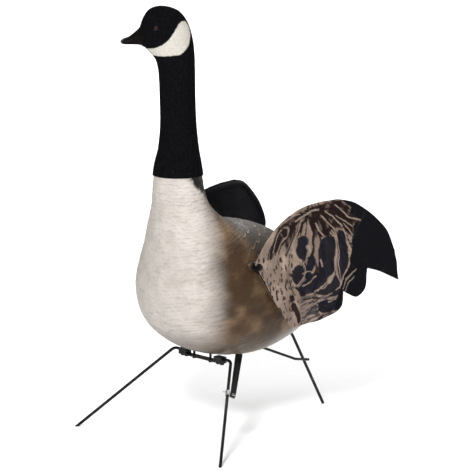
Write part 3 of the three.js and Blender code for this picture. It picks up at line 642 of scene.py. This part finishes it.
def paint_outside(obj, lookup, colours):
    """Paint what lies on the outer surface or on a boss; the rest shows the bare moulding."""
    mesh = obj.data
    paint = np.zeros((len(mesh.vertices), 3))
    for k, vertex in enumerate(mesh.vertices):
        _, nearest, distance = lookup.find(vertex.co)
        if distance < SKIN_REACH:
            paint[k] = colours[nearest]
    co = np.zeros(len(mesh.vertices) * 3)
    mesh.vertices.foreach_get("co", co)
    x, y, z = (co.reshape(-1, 3) - place((0, *AXLE))).T
    boss = (np.abs(x) > 0.108) & (np.hypot(y, z) < 0.0105)
    paint[boss] = BROWN
    paint_points(obj, "paint", paint)
    loops = np.zeros(len(mesh.loops), np.int32)
    mesh.loops.foreach_get("vertex_index", loops)
    starts = np.zeros(len(mesh.polygons), np.int32)
    mesh.polygons.foreach_get("loop_start", starts)
    bare = np.minimum.reduceat(paint.sum(1)[loops], starts) < 0.001
    mesh.polygons.foreach_set("material_index", bare.astype(np.int32))
    mesh.update()


body_skins()

# ------------ head and neck
PATCH = [
    (59.6, 766.5), (47.2, 768.6), (33.6, 774.8), (22.7, 783), (11.8, 796.8), (3.6, 809.4),
    (-0.6, 815), (-7.3, 818.6), (-12.8, 817.5), (-18.1, 809.5), (-22.3, 799), (-21.6, 787),
    (-18.9, 775), (-11.5, 765.5), (2.3, 756.5), (44.5, 753.5), (60, 756), (66, 761),
]


def line_distance(px, py, points):
    """Distance to an open line of points."""
    nearest = np.full(np.shape(px), 1e9)
    for (ax, ay), (bx, by) in zip(points[:-1], points[1:]):
        dx, dy = bx - ax, by - ay
        t = np.clip(((px - ax) * dx + (py - ay) * dy) / (dx * dx + dy * dy + 1e-9), 0, 1)
        nearest = np.minimum(nearest, np.hypot(px - ax - t * dx, py - ay - t * dy))
    return nearest


def polygon_distance(px, py, corners):
    """Signed distance to a closed polygon, positive inside."""
    loop = np.concatenate([corners, corners[:1]])
    inside = np.zeros(np.shape(px), bool)
    for (ax, ay), (bx, by) in zip(loop[:-1], loop[1:]):
        if ay != by:
            inside ^= ((ay > py) != (by > py)) & (px < (bx - ax) * (py - ay) / (by - ay) + ax)
    nearest = line_distance(px, py, loop)
    return np.where(inside, nearest, -nearest)


def closed_curve(points, count):
    return resample(np.concatenate([points, points[:1]]), count)


def head_skin():
    """Head and neck in one skin: flock, cheek patches, bill and nail."""
    rows, sides = 420, 240
    t = np.linspace(0, 1, rows)
    grid = ovals(smooth_rows(HEAD_ROWS, t), around(sides))
    grid[0, :, 2] = COLLAR_Z
    normal = grid_normals(grid)
    s, c = grid_arcs(grid)
    c = np.abs(c - c[:, sides // 2][:, None])
    f, z, x = -grid[..., 1], grid[..., 2], grid[..., 0]
    ragged = 0.9 * fractal(f / 3, z / 3, 41) + 0.8 * fractal(f / 9, z / 9, 42)
    patch = ease(-0.9, 0.9, polygon_distance(f, z, closed_curve(PATCH, 160)) + ragged)
    bill_line = 66.5 + 7.5 * ease(782, 800, z) - 0.13 * (z - 776)
    bill_line += 2.5 * np.exp(-((z - 783) / 5) ** 2)
    bill = ease(-0.8, 0.8, f - bill_line + 0.5 * fractal(z / 3, x / 3, 43))
    # the nail: raised a little, and painted lighter in the shader as a painted highlight
    nail = ease(100.5, 103.5, f) * ease(9.5, 5.5, np.abs(x)) * ease(775, 779, z)
    a1, _, _ = shingles(s, c + 2 * fractal(s / 20, c / 20, 44), 6.2, 7.5, 3.2, 45, 0.5)
    relief = 0.42 * (a1**1.5 - 0.5) * patch + 0.25 * patch
    relief += (1 - bill) * (1 - patch) * 0.16 * fractal(s / 2.2, c / 2.2, 46)
    relief += (1 - bill) * ease(-3.5, -0.5, f - bill_line) * 0.35
    # mouth line, nostril, nail, eye socket
    mouth_z = np.interp(f, [66, 76, 88, 98, 107], [779.5, 776.6, 776.2, 777.3, 778.5])
    side_face = ease(2, 6, np.abs(x))
    relief -= 0.8 * np.exp(-(((z - mouth_z) / 0.7) ** 2)) * ease(67, 71, f) * side_face
    relief -= 1.5 * np.exp(-(((f - 86) / 3.6) ** 2 + ((z - 785.5) / 1.5) ** 2)) * side_face
    relief += 0.45 * nail
    eye = np.hypot(f - EYE[1], z - EYE[2])
    relief -= 1.1 * np.exp(-((eye / 5.4) ** 4)) * side_face
    relief += 0.55 * np.exp(-(((eye - 6.6) / 1.3) ** 2)) * side_face
    brow = line_distance(f, z, [(58, 806), (48, 815), (34, 816)])
    relief += 0.7 * np.exp(-((brow / 3.0) ** 2)) * side_face * (1 - bill)
    relief *= ease(0, 0.01, t)[:, None] * ease(1, 0.985, t)[:, None]
    grid = grid + normal * relief[..., None]
    skin = loft("head_skin", grid)
    for name, values in (("patch", patch), ("bill", bill), ("nail", nail)):
        paint_points(skin, name, values.ravel())
    hollow_rows = smooth_rows(HEAD_ROWS, np.linspace(0.2, 0.6, 20))
    combine(skin, [(CUT, tube("socket", [(0, 0, 500), (0, 0, 551)], SOCKET_R, 72)),
                   (CUT, loft("hollow", ovals(hollow_rows, np.arange(24) / 24 * 2 * np.pi, WALL)))])
    turn(skin)
    dress(skin, "flocked_head")
    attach(skin, "head")
    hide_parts("head_neck")


def turn(obj):
    """Turns a piece of the head about the neck's axis."""
    there = Matrix.Translation((0, SHIFT_Y, 0))
    back = Matrix.Translation((0, -SHIFT_Y, 0))
    obj.data.transform(there @ Matrix.Rotation(HEAD_TURN, 4, "Z") @ back)


def eye_beads():
    for side, name in ((1, "left"), (-1, "right")):
        a = np.linspace(0.02, np.pi - 0.02, 32)[:, None]
        b = np.linspace(0, 2 * np.pi, 48, endpoint=False)[None, :]
        ball = np.broadcast_arrays(np.cos(a), np.sin(a) * np.cos(b), np.sin(a) * np.sin(b))
        obj = loft(f"{name}_eye_bead", np.stack(ball, -1) * EYE_R + (side * EYE[0], -EYE[1], EYE[2]))
        turn(obj)
        dress(obj, "eye_bead")
        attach(obj, "head")
        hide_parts(f"{name}_eye")


head_skin()
eye_beads()

# ------------ wings
# The print, in millimetres back from the axle and up from it: outlines of the dark areas, each a
# run of back, rise, and strokes, each a width and then its run.
NIGHT = (
    216, 106, 226, 104, 265, 91, 294, 75, 317, 55, 329, 35, 335, 15, 337, -66, 269, -36, 267, -44,
    265, -70, 250, -85, 234, -91, 219, -85, 210, -80, 206, -96, 193, -108, 181, -110, 188, -94, 195, -79,
    203, -63, 215, -39, 227, -17, 234, 5, 237, 34, 240, 53, 255, 62, 241, 68, 234, 77, 237, 88, 225, 97,
)
ARCH = [
    (67, 71, 87, 80, 117, 92, 146, 99, 179, 102, 216, 105, 238, 86, 240, 57, 237, 31, 228, 35, 214, 49,
     194, 52, 181, 40, 163, 37, 153, 43, 142, 57, 132, 76, 118, 78, 102, 62, 87, 35, 75, 23, 72, 32,
     82, 51, 86, 65, 75, 71),
    (60, 68, 45, 43, 35, 25, 29, 10, 40, 12, 52, 23, 64, 37, 73, 48, 83, 61, 80, 72),
]
SLATE = [
    (155, 14, 160, 26, 169, 35, 181, 37, 193, 33, 195, 16, 193, -10, 187, -31, 174, -42, 162, -43,
     154, -32, 153, -12),
    (204, 47, 218, 43, 221, 26, 223, 6, 224, -10, 216, -34, 204, -54, 199, -38, 199, -11, 200, 15),
    (103, -8, 113, -15, 116, -30, 110, -43, 98, -48, 88, -39, 86, -26, 93, -13),
    (106, 42, 119, 45, 131, 40, 132, 28, 126, 24, 130, 13, 120, 0, 105, 3, 99, 17, 104, 29),
    (129, 2, 142, 4, 147, -8, 140, -25, 129, -40, 117, -38, 116, -24, 124, -11),
    (113, -43, 135, -32, 151, -31, 162, -47, 177, -54, 191, -39, 203, -63, 196, -79, 175, -80, 151, -74,
     131, -68, 111, -69, 98, -59, 102, -51),
    (146, -89, 171, -86, 189, -88, 193, -101, 177, -109, 156, -110, 145, -102),
]
UMBER = [
    (95, -53, 112, -59, 116, -70, 104, -72),
    (81, -80, 90, -81, 98, -102, 100, -119, 92, -120, 86, -101, 78, -87),
    (73, -66, 87, -66, 90, -75, 81, -80),
    (69, 63, 81, 65, 82, 51, 72, 46, 68, 55),
]
UMBER_LINES = [
    (6.3, 143, 39, 144, 21, 139, 6, 131, -3), (3.8, 62, 60, 71, 70, 84, 72, 92, 66, 86, 51, 75, 39),
    (4.4, 73, 40, 63, 31, 56, 21), (4.4, 59, 57, 46, 40, 40, 28, 34, 11), (2.8, 50, 49, 42, 34),
    (2.8, 62, 44, 52, 26, 47, 17), (2.8, 39, 34, 31, 22, 27, 12),
    (5.7, 116, 88, 129, 85, 130, 75, 120, 69, 114, 56, 104, 46), (3.8, 102, 62, 96, 46, 86, 28, 72, 14),
    (5.1, 132, 83, 141, 74, 143, 59, 146, 42), (3.2, 145, 86, 157, 88, 161, 79, 152, 73, 142, 78),
    (4.4, 148, 73, 154, 56, 161, 42, 163, 33), (4.4, 160, 75, 170, 54, 181, 38),
    (3.8, 165, 89, 186, 91, 205, 86, 209, 74),
    (2.8, 97, -126, 126, -127, 155, -126, 184, -120, 203, -103), (2.5, 142, -90, 162, -88, 178, -93),
    (2.8, 137, -104, 157, -100, 177, -104), (2.5, 144, -118, 168, -113),
    (2.8, 110, -78, 131, -76, 151, -81), (3.2, 80, -38, 83, -52, 90, -66), (2.5, 92, -50, 99, -59),
    (3.5, 68, -37, 65, -46, 68, -53), (3.8, 45, -53, 46, -69), (2.5, 29, -35, 28, -48),
    (2.8, 68, -5, 70, -16), (2.5, 61, 9, 62, 2), (2.5, 80, 2, 82, -5), (2.2, 40, -9, 43, -18),
    (2.2, 54, -29, 54, -36), (2.5, 77, 20, 72, 11), (2.5, 59, -65, 57, -72), (1.9, 22, -24, 23, -34),
    (2.5, 27, -60, 28, -72), (1.9, 61, -84, 65, -94), (1.9, 48, -86, 52, -96), (1.9, 80, -22, 80, -29),
    (2.2, 52, 4, 54, -3), (1.9, 42, -43, 43, -48), (1.9, 54, -48, 55, -54), (1.6, 31, -19, 32, -24),
    (1.6, 75, -48, 76, -53), (1.9, 92, 28, 89, 20), (1.9, 86, 16, 81, 6),
]
PALE_LINES = [
    (2.8, 185, 43, 196, 34, 197, 9, 195, -17, 188, -36, 170, -50, 148, -66),
    (2.5, 217, 49, 223, 32, 227, 12, 228, -1, 222, -26, 211, -48, 199, -64, 190, -69),
    (2.5, 194, 52, 201, 35, 202, 8, 201, -17, 205, -47, 200, -66),
    (2.5, 96, -5, 86, -17, 83, -32, 92, -49), (2.5, 114, -7, 119, -21, 114, -37, 95, -51),
    (2.5, 110, -52, 129, -46, 146, -37), (2.2, 140, -65, 161, -62, 173, -53), (2.2, 123, -70, 144, -67),
    (1.9, 163, -78, 180, -74), (1.9, 170, -90, 187, -86), (2.5, 112, -27, 127, -24, 141, -30),
    (1.9, 129, -3, 121, -5, 114, -7), (2.2, 207, -69, 217, -55, 230, -40, 240, -33),
    (1.9, 211, -76, 223, -59, 234, -47), (1.9, 217, -52, 226, -43, 236, -36), (1.6, 225, 29, 236, 27),
    (1.6, 225, 22, 235, 20), (1.6, 225, 14, 235, 13), (4.1, 159, -6, 161, -19), (3.5, 133, 23, 135, 13),
    (3.8, 103, 75, 124, 83, 145, 91, 162, 91), (2.5, 133, 67, 139, 54, 140, 41, 139, 29),
    (3.2, 152, 65, 158, 52, 169, 41), (2.8, 168, 79, 183, 62, 194, 52),
    (2.8, 177, 86, 192, 76, 203, 64, 214, 53), (2.8, 202, 96, 217, 83, 230, 69, 255, 61),
    (2.5, 202, 75, 217, 65, 237, 52), (2.2, 217, 58, 229, 45, 236, 34),
    (2.8, 115, 67, 105, 49, 92, 28, 83, 13), (2.5, 78, 77, 95, 84, 116, 88),
    (2.2, 66, 63, 55, 51, 47, 35, 41, 21), (1.9, 73, 44, 64, 36, 54, 20), (1.9, 76, 66, 86, 62, 82, 51),
]

BEIGE = rgb(0.185, 0.137, 0.111)
BEIGE_PALE = rgb(0.295, 0.222, 0.182)
UMBER_INK = rgb(0.0085, 0.0042, 0.004)
SLATE_INK = rgb(0.0058, 0.006, 0.0098)
NIGHT_INK = rgb(0.0035, 0.0035, 0.005)
THICK = 0.9  # of the cloth
LONG, HIGH = 330, 130  # the wing's size, for distances from its edges
WIRE_R = 2.2
WIRE_INSET = 4.3  # from the middle of the cloth to the middle of a wire
SLEEVE_R, SLEEVE_BORE = 3.1, 2.6


def wing_x(back, rise):
    """How far out from the middle of the goose the cloth lies."""
    upright = ease(215, 290, back) * (rise > 0)
    return 144 + 40 * (back / 330) ** 2 - 11 * (rise / 100) * (1 - upright)


def pairs(numbers):
    return np.reshape(numbers, (-1, 2))


def cornered(points, places):
    """Catmull-Rom through the ends of the wing's columns, with its corners kept sharp."""
    out = np.zeros((len(places), 2))
    at = np.asarray(places) * (len(points) - 1)
    for a, b in zip(WING_CORNERS, WING_CORNERS[1:]):
        use = (at >= a - 1e-9) & (at <= b + 1e-9)
        out[use] = smooth_rows(points[a:b + 1], (at[use] - a) / (b - a))
    return out


def wing_print(b, r):
    """Ink colours of the outer face."""
    wb = b + 1.3 * fractal(b / 7, r / 7, 61) + 0.7 * fractal(b / 2.5, r / 2.5, 62)
    wr = r + 1.3 * fractal(b / 7, r / 7, 63) + 0.7 * fractal(b / 2.5, r / 2.5, 64)
    colour = mix(BEIGE, BEIGE_PALE, ease(-0.4, 0.7, fractal(b / 22, r / 30, 65)))
    colour = mix(colour, BEIGE * 0.72, 0.6 * ease(0.1, 0.8, fractal(b / 9, r / 26, 66)))
    # grey strokes over the lower feathers
    dash = fractal((b + 0.55 * r) / 16, (r - 0.3 * b) / 3.0, 67)
    zone = ease(-62, -80, r + 0.10 * (b - 120)) * ease(92, 112, b) * ease(215, 195, b)
    colour = mix(colour, SLATE_INK * 2.6, zone * ease(-0.22, 0.12, dash) * 0.88)
    # dark streaks that fan out from the wrist
    angle = np.arctan2(wb - 140, 135 - wr)
    away = np.hypot(wb - 140, 135 - wr)
    fine = fractal(angle * 21 + 0.25 * fractal(b / 20, r / 20, 75), away / 42, 76)
    zone = ease(92, 118, b + 0.3 * r) * ease(-78, -60, r)
    colour = mix(colour, UMBER_INK * 1.3, zone * ease(0.02, 0.16, fine) * 0.93)

    def shade(colour, distance, ink, soft=0.8, strength=0.96):
        return mix(colour, ink, strength * ease(-soft, soft, distance))

    # streaked dark covert feathers along the arch
    fan = np.arctan2(r + 40, b - 120)
    streaks = fractal(fan * 15, np.hypot(r + 40, b - 120) / 24, 74)
    covert = ease(-3, 3, np.maximum(*(polygon_distance(wb, wr, pairs(shape)) for shape in ARCH)))
    colour = mix(colour, UMBER_INK * 1.2, covert * (0.62 + 0.36 * ease(-0.3, 0.0, streaks)))

    rag = 0.22 * fractal(b / 4, r / 4, 68)
    for width, *run in UMBER_LINES:
        near = width / 2 - line_distance(wb, wr, pairs(run)) + width * rag
        colour = shade(colour, near, UMBER_INK)
    for shape in UMBER:
        colour = shade(colour, polygon_distance(wb, wr, pairs(shape)), UMBER_INK)
    ink = mix(SLATE_INK, SLATE_INK * 2.6, 0.55 * ease(0.1, 0.7, fractal(b / 8, r / 13, 69)))
    for shape in SLATE:
        near = polygon_distance(wb, wr, closed_curve(pairs(shape), 60))
        colour = mix(colour, ink, 0.97 * ease(-1.2, 1.2, near))
    night = polygon_distance(wb, wr, pairs(NIGHT))
    streak = ease(0.35, 0.8, fractal((b - 0.5 * r) / 5, (r + 0.2 * b) / 40, 70))
    streak = 0.35 * streak * ease(25, 5, night)
    colour = mix(colour, mix(NIGHT_INK, BEIGE * 0.5, streak), ease(-1.0, 1.0, night))
    rag = 0.5 * fractal(b / 3, r / 3, 71)
    for width, *run in PALE_LINES:
        near = width * 0.42 - line_distance(wb, wr, pairs(run)) + rag
        colour = shade(colour, near, BEIGE_PALE * 0.85, 0.7, 0.9)
    # small spots over the root
    for seed, size in ((72, 9.0), (73, 13.0)):
        i, j = np.floor(b / size), np.floor(r / (size * 1.6))
        pb = (i + 0.2 + 0.6 * hash01(i, j, seed)) * size
        pr = (j + 0.2 + 0.6 * hash01(i, j, seed + 20)) * size * 1.6
        show = hash01(i, j, seed + 40) < 0.5
        d = np.hypot((wb - pb) / (0.15 * size), (wr - pr) / (0.36 * size))
        zone = ease(118, 96, b) * ease(30, 12, r) * show
        colour = mix(colour, UMBER_INK, 0.9 * zone * ease(1.25, 0.8, d))
    return colour


def folds(b, r, v):
    """Soft folds that fan out from the wing's wrist; none along the wires."""
    free = ease(0.06, 0.5, v) * (1 - 0.75 * ease(60, 0, b))
    fan = np.arctan2(-(r - 150), b - 90)
    wave = 1.5 * np.sin(fan * 23 + 0.8 * fractal(b / 60, r / 60, 81)) + 0.9 * np.sin(fan * 41 + 1.3)
    sag = 2.6 * fractal(b / 70, r / 90, 82)
    return free * (wave + sag)


def wing_cloth(side, name):
    """One wing's cloth, printed outside and black inside, and its flat area in mm2."""
    rows, cols = 150, 330
    u = np.linspace(0, 1, cols)
    v = np.linspace(0, 1, rows)[:, None]
    top, low = (cornered([column[k] for column in WING_COLUMNS], u) for k in (0, 1))
    b, r = (top[:, k] + (low - top)[:, k] * v for k in (0, 1))
    x = wing_x(b, r) + folds(b, r, v) * ease(0, 30, b)
    edge = np.minimum(np.minimum(v, 1 - v) * HIGH, np.minimum(u, 1 - u)[None] * LONG)
    half = THICK / 2 + 0.35 * ease(6.0, 5.0, edge) * ease(-0.5, 1.0, edge)
    stitch = np.exp(-(((edge - 5.2) / 0.6) ** 2)) * 0.3
    outer = np.stack([x + half - stitch, AXLE[0] + b, AXLE[1] + r], -1)
    inner = np.stack([x - half + stitch, AXLE[0] + b, AXLE[1] + r], -1)
    points = np.concatenate([outer.reshape(-1, 3), inner.reshape(-1, 3)])
    points[:, 0] *= side
    i, j = np.meshgrid(np.arange(rows - 1), np.arange(cols - 1), indexing="ij")
    a = (i * cols + j).ravel()
    quads = np.stack([a, a + 1, a + cols + 1, a + cols], -1)
    back_quads = quads[:, ::-1] + rows * cols
    ring = np.r_[np.arange(cols), (np.arange(1, rows) * cols + cols - 1),
                 (rows - 1) * cols + np.arange(cols - 2, -1, -1), np.arange(rows - 2, 0, -1) * cols]
    after = np.roll(ring, -1)
    rim = np.stack([ring, ring + rows * cols, after + rows * cols, after], -1)
    faces = np.concatenate([quads, back_quads, rim])
    obj = outward(build(name, place(points), faces))
    dress(obj, "print", "wing_cloth")
    lining = np.zeros(len(faces), np.int32)
    lining[len(quads):2 * len(quads)] = 1
    obj.data.polygons.foreach_set("material_index", lining)
    paint_points(obj, "paint", np.tile(wing_print(b, r).reshape(-1, 3), (2, 1)))
    trim = ease(2.6, 1.4, edge) * (u[None] > 0.9) * (v < 0.9)
    paint_points(obj, "edge", np.tile(trim.ravel(), 2))
    combine(obj, [(CUT, tube("eyelet", [(side * 120, *AXLE), (side * 170, *AXLE)], 4.4, 40))])
    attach(obj, "wings")
    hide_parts(name.replace("cloth", "fabric"))
    flat = np.stack([b, r], -1)
    d1, d2 = flat[1:, 1:] - flat[:-1, :-1], flat[1:, :-1] - flat[:-1, 1:]
    area = np.abs(d1[..., 0] * d2[..., 1] - d1[..., 1] * d2[..., 0]).sum() / 2
    return obj, area


def wire_path(places, count):
    pts = resample(places, count)
    x = wing_x(pts[:, 0], pts[:, 1]) - WIRE_INSET
    return np.stack([x, AXLE[0] + pts[:, 0], AXLE[1] + pts[:, 1]], 1)


def sleeve(side, name, places, count, lap, cloth):
    """A sewn channel of lining cloth that holds a wire against the panel."""
    path = wire_path(places, count)[int(0.05 * count):int(0.97 * count)]
    away = np.array([-1.0, 0, 0])  # from the cloth, towards the body
    across = unit(np.cross(np.gradient(path, axis=0), away))
    a = np.linspace(-np.pi / 2, np.pi / 2, 15)[None, :, None]
    ripple = 1 + 0.05 * np.sin(np.arange(len(path)) * 0.9)[:, None, None]
    arch = across[:, None, :] * np.sin(a) * SLEEVE_R + away * (np.cos(a) * SLEEVE_R)
    outer = path[:, None, :] + arch * ripple
    inner = path[:, None, :] + arch * (SLEEVE_BORE / SLEEVE_R)
    seat = path - away * 3.0
    flaps = [(seat - across * lap)[:, None], (seat + across * lap)[:, None]]
    thick = away * 0.7
    outer = np.concatenate([flaps[0] + thick, outer, flaps[1] + thick], 1)
    inner = np.concatenate([flaps[0], inner, flaps[1]], 1)
    grid = np.concatenate([outer, inner[:, ::-1]], 1)
    grid[..., 0] *= side
    obj = loft(name, grid)
    dress(obj, cloth)
    paint_points(obj, "paint", np.tile(BEIGE, (len(obj.data.vertices), 1)))
    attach(obj, "wings")
    return obj


for side, word in ((1, "left"), (-1, "right")):
    cloth, area = wing_cloth(side, f"{word}_wing_cloth")
    sleeves = [sleeve(side, f"{word}_leading_sleeve", LEADING_WIRE, 160, 6.5, "wing_cloth"),
               sleeve(side, f"{word}_root_sleeve", ROOT_WIRE, 60, 4.4, "print")]
    for wire, places, count in (("leading", LEADING_WIRE, 160), ("root", ROOT_WIRE, 40)):
        node, path = f"{word}_{wire}_wire", wire_path(places, count) * (side, 1, 1)
        wire_piece(f"{node}_smooth", node, path, WIRE_R, 24, "wings")

# ------------ legs, rod and strap
def bent_path(corners, bend):
    """Points along a wire with a round bend of the same radius at each corner."""
    corners = [np.asarray(c, float) for c in corners]
    path = [corners[0]]
    for before, corner, after in zip(corners, corners[1:], corners[2:]):
        back, ahead = unit(before - corner), unit(after - corner)
        half = math.acos(back.dot(ahead)) / 2
        reach = bend / math.tan(half)
        centre = corner + unit(back + ahead) * bend / math.sin(half)
        start, end = corner + back * reach - centre, corner + ahead * reach - centre
        total = math.acos(np.clip(start.dot(end) / bend**2, -1, 1))
        steps = max(6, int(total / 0.05))
        for k in range(steps + 1):
            q = k / steps
            arm = start * math.sin((1 - q) * total) + end * math.sin(q * total)
            path.append(centre + arm / math.sin(total))
    path.append(corners[-1])
    return np.array(path)


def leg(node, top, knee, foot, bend, side=1):
    """A leg from its clamp round the knee to the ground and 6 mm on, before it is cut level."""
    top, knee, foot = (np.asarray(p, float) for p in (top, knee, foot))
    path = bent_path([top, knee, foot + unit(foot - knee) * 6], bend) * (side, 1, 1)
    wire_piece(f"{node}_wire", node, path, 3.0, 32, "stand_and_body")


KNEE, FOOT = (82, 62, 158.8), (209.4, -83.1, 0)  # of the left front leg
leg("left_front_leg", (44, 62, 158.8), KNEE, FOOT, 14)
leg("right_front_leg", (44, 62, 158.8), KNEE, FOOT, 14, side=-1)
leg("rear_leg", (-12, 229, 186.2), (-12, 299.5, 186.2), (-12, 403.5, 0), 70)
rod = [(16, 140, 179.3), (16, 219.5, 146.9), (16, 298, 114), (16, 334.9, 107)]
wire_piece("pull_rod_wire", "pull_rod", bent_path(rod, 18), 2.6, 32, "pull_lever")

STRAP_EYE = rgb(18.5, 142, 148)
STRAP_SIDE = unit(np.array((0.664, 0.623, -0.415)))
STRAP_END = np.array(KNEE) + 77.5 * unit(np.array((127.4, -145.1, -158.8))) + 11 * STRAP_SIDE
WIDE, NARROW = 7.75, 5.25  # half widths of the strap at its two ends
PAST_EYE, PAST_END = 6, 3.6  # how far it runs on past its two pins


def strap():
    """The rubber strap from the lever's lug to the clip on the left front leg."""
    length = np.linalg.norm(STRAP_END - STRAP_EYE)
    along = (STRAP_END - STRAP_EYE) / length
    side = unit(STRAP_SIDE - along * STRAP_SIDE.dot(along))
    normal = np.cross(along, side)
    at = np.unique(np.r_[np.linspace(-PAST_EYE, 2, 24), np.linspace(2, length - 3, 120),
                         np.linspace(length - 3, length + PAST_END, 24)])
    wide = np.interp(at, (0, length), (WIDE, NARROW))
    for end, way, reach in ((-PAST_EYE, 1, WIDE), (length + PAST_END, -1, NARROW)):
        inside = np.clip((at - end) * way, 0.02, reach)
        wide = np.minimum(wide, np.sqrt(reach**2 - (reach - inside) ** 2) * 0.25 + wide * 0.75)
    edge = np.array([(1, 1.1), (0.97, 1.75), (0.88, 2), (0.62, 2), (0.5, 1.6), (0.38, 2)])
    top = np.r_[edge * (-1, 1), [(0, 2)], edge[::-1]]
    section = np.r_[top, top[::-1] * (1, -1)]
    ripple = 1 + 0.012 * np.sin(at * 1.3)
    grid = STRAP_EYE + at[:, None, None] * along
    grid = grid + (wide * ripple)[:, None, None] * section[None, :, :1] * side
    grid = grid + section[None, :, 1:] * normal
    obj = loft("strap_rubber", grid)
    holes = [tube("eye", [p - normal * 8, p + normal * 8], 2.3, 32) for p in (STRAP_EYE, STRAP_END)]
    combine(obj, [(CUT, hole) for hole in holes])
    dress(obj, "rubber_strap")
    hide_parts("return_strap")
    eye, end = place([STRAP_EYE, STRAP_END]).tolist()
    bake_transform(obj)


strap()

# ------------ floor, light, camera
floor = build("floor", [(-6, -6, 0), (6, -6, 0), (6, 6, 0), (-6, 6, 0)], [(0, 1, 2, 3)])
floor.location.z = -0.0002
dress(floor, "floor")

world = bpy.data.worlds.new("studio")
scene.world = world
world.use_nodes = True
sky = world.node_tree
looking = sky.nodes.new("ShaderNodeTexCoord").outputs["Generated"]


def sky_patch(direction, start, end, outside, inside):
    """Brightness of the sky: one value around a direction and another elsewhere."""
    toward = sky.nodes.new("ShaderNodeVectorMath")
    toward.operation = "DOT_PRODUCT"
    toward.inputs[1].default_value = direction
    sky.links.new(looking, toward.inputs[0])
    patch = sky.nodes.new("ShaderNodeMapRange")
    patch.interpolation_type = "SMOOTHSTEP"
    ends = {"From Min": start, "From Max": end, "To Min": outside, "To Max": inside}
    for socket, value in ends.items():
        patch.inputs[socket].default_value = value
    sky.links.new(toward.outputs["Value"], patch.inputs["Value"])
    return patch.outputs["Result"]


ceiling = sky_patch((-0.2, 0.2, 0.96), 0.35, 0.9, 0.44, 1.5)
shade = sky_patch((-0.8, -0.6, 0), -0.2, 0.7, 1.0, 0.15)
strength = sky.nodes.new("ShaderNodeMath")
strength.operation = "MULTIPLY"
sky.links.new(ceiling, strength.inputs[0])
sky.links.new(shade, strength.inputs[1])
sky.nodes["Background"].inputs["Color"].default_value = (1, 1, 1, 1)
sky.links.new(strength.outputs[0], sky.nodes["Background"].inputs["Strength"])


def lamp(name, at, aim, power, size):
    data = bpy.data.lights.new(name, "AREA")
    data.energy = power
    data.shape = "DISK"
    data.size = size
    obj = bpy.data.objects.new(name, data)
    obj.location = at
    obj.rotation_euler = (Vector(aim) - Vector(at)).to_track_quat("-Z", "Y").to_euler()
    scene.collection.objects.link(obj)


lamp("key", (1.5, -2.2, 1.9), (0, 0, 0.4), 94, 0.6)
lamp("backdrop", (-3.2, 3.2, 3.4), (-3.2, 3.2, 0), 190, 3.0)

scene.view_settings.view_transform = "Standard"
AZIMUTH, PITCH, YAW = (math.radians(v) for v in (48.27, 11.13, 1.06))
camera = bpy.data.objects.new("camera", bpy.data.cameras.new("camera"))
scene.collection.objects.link(camera)
level = Vector((-math.sin(AZIMUTH), math.cos(AZIMUTH), 0))
right = Vector((math.cos(AZIMUTH), math.sin(AZIMUTH), 0))
ahead = level * math.cos(PITCH) + Vector((0, 0, -math.sin(PITCH)))
ahead = ahead * math.cos(YAW) + right * math.sin(YAW)
camera.location = (4.4775, -3.9937 + SHIFT_Y, 1.5796)
camera.rotation_euler = ahead.to_track_quat("-Z", "Y").to_euler()
camera.data.sensor_width = 36
camera.data.lens = 241.73
camera.data.clip_end = 50
scene.camera = camera
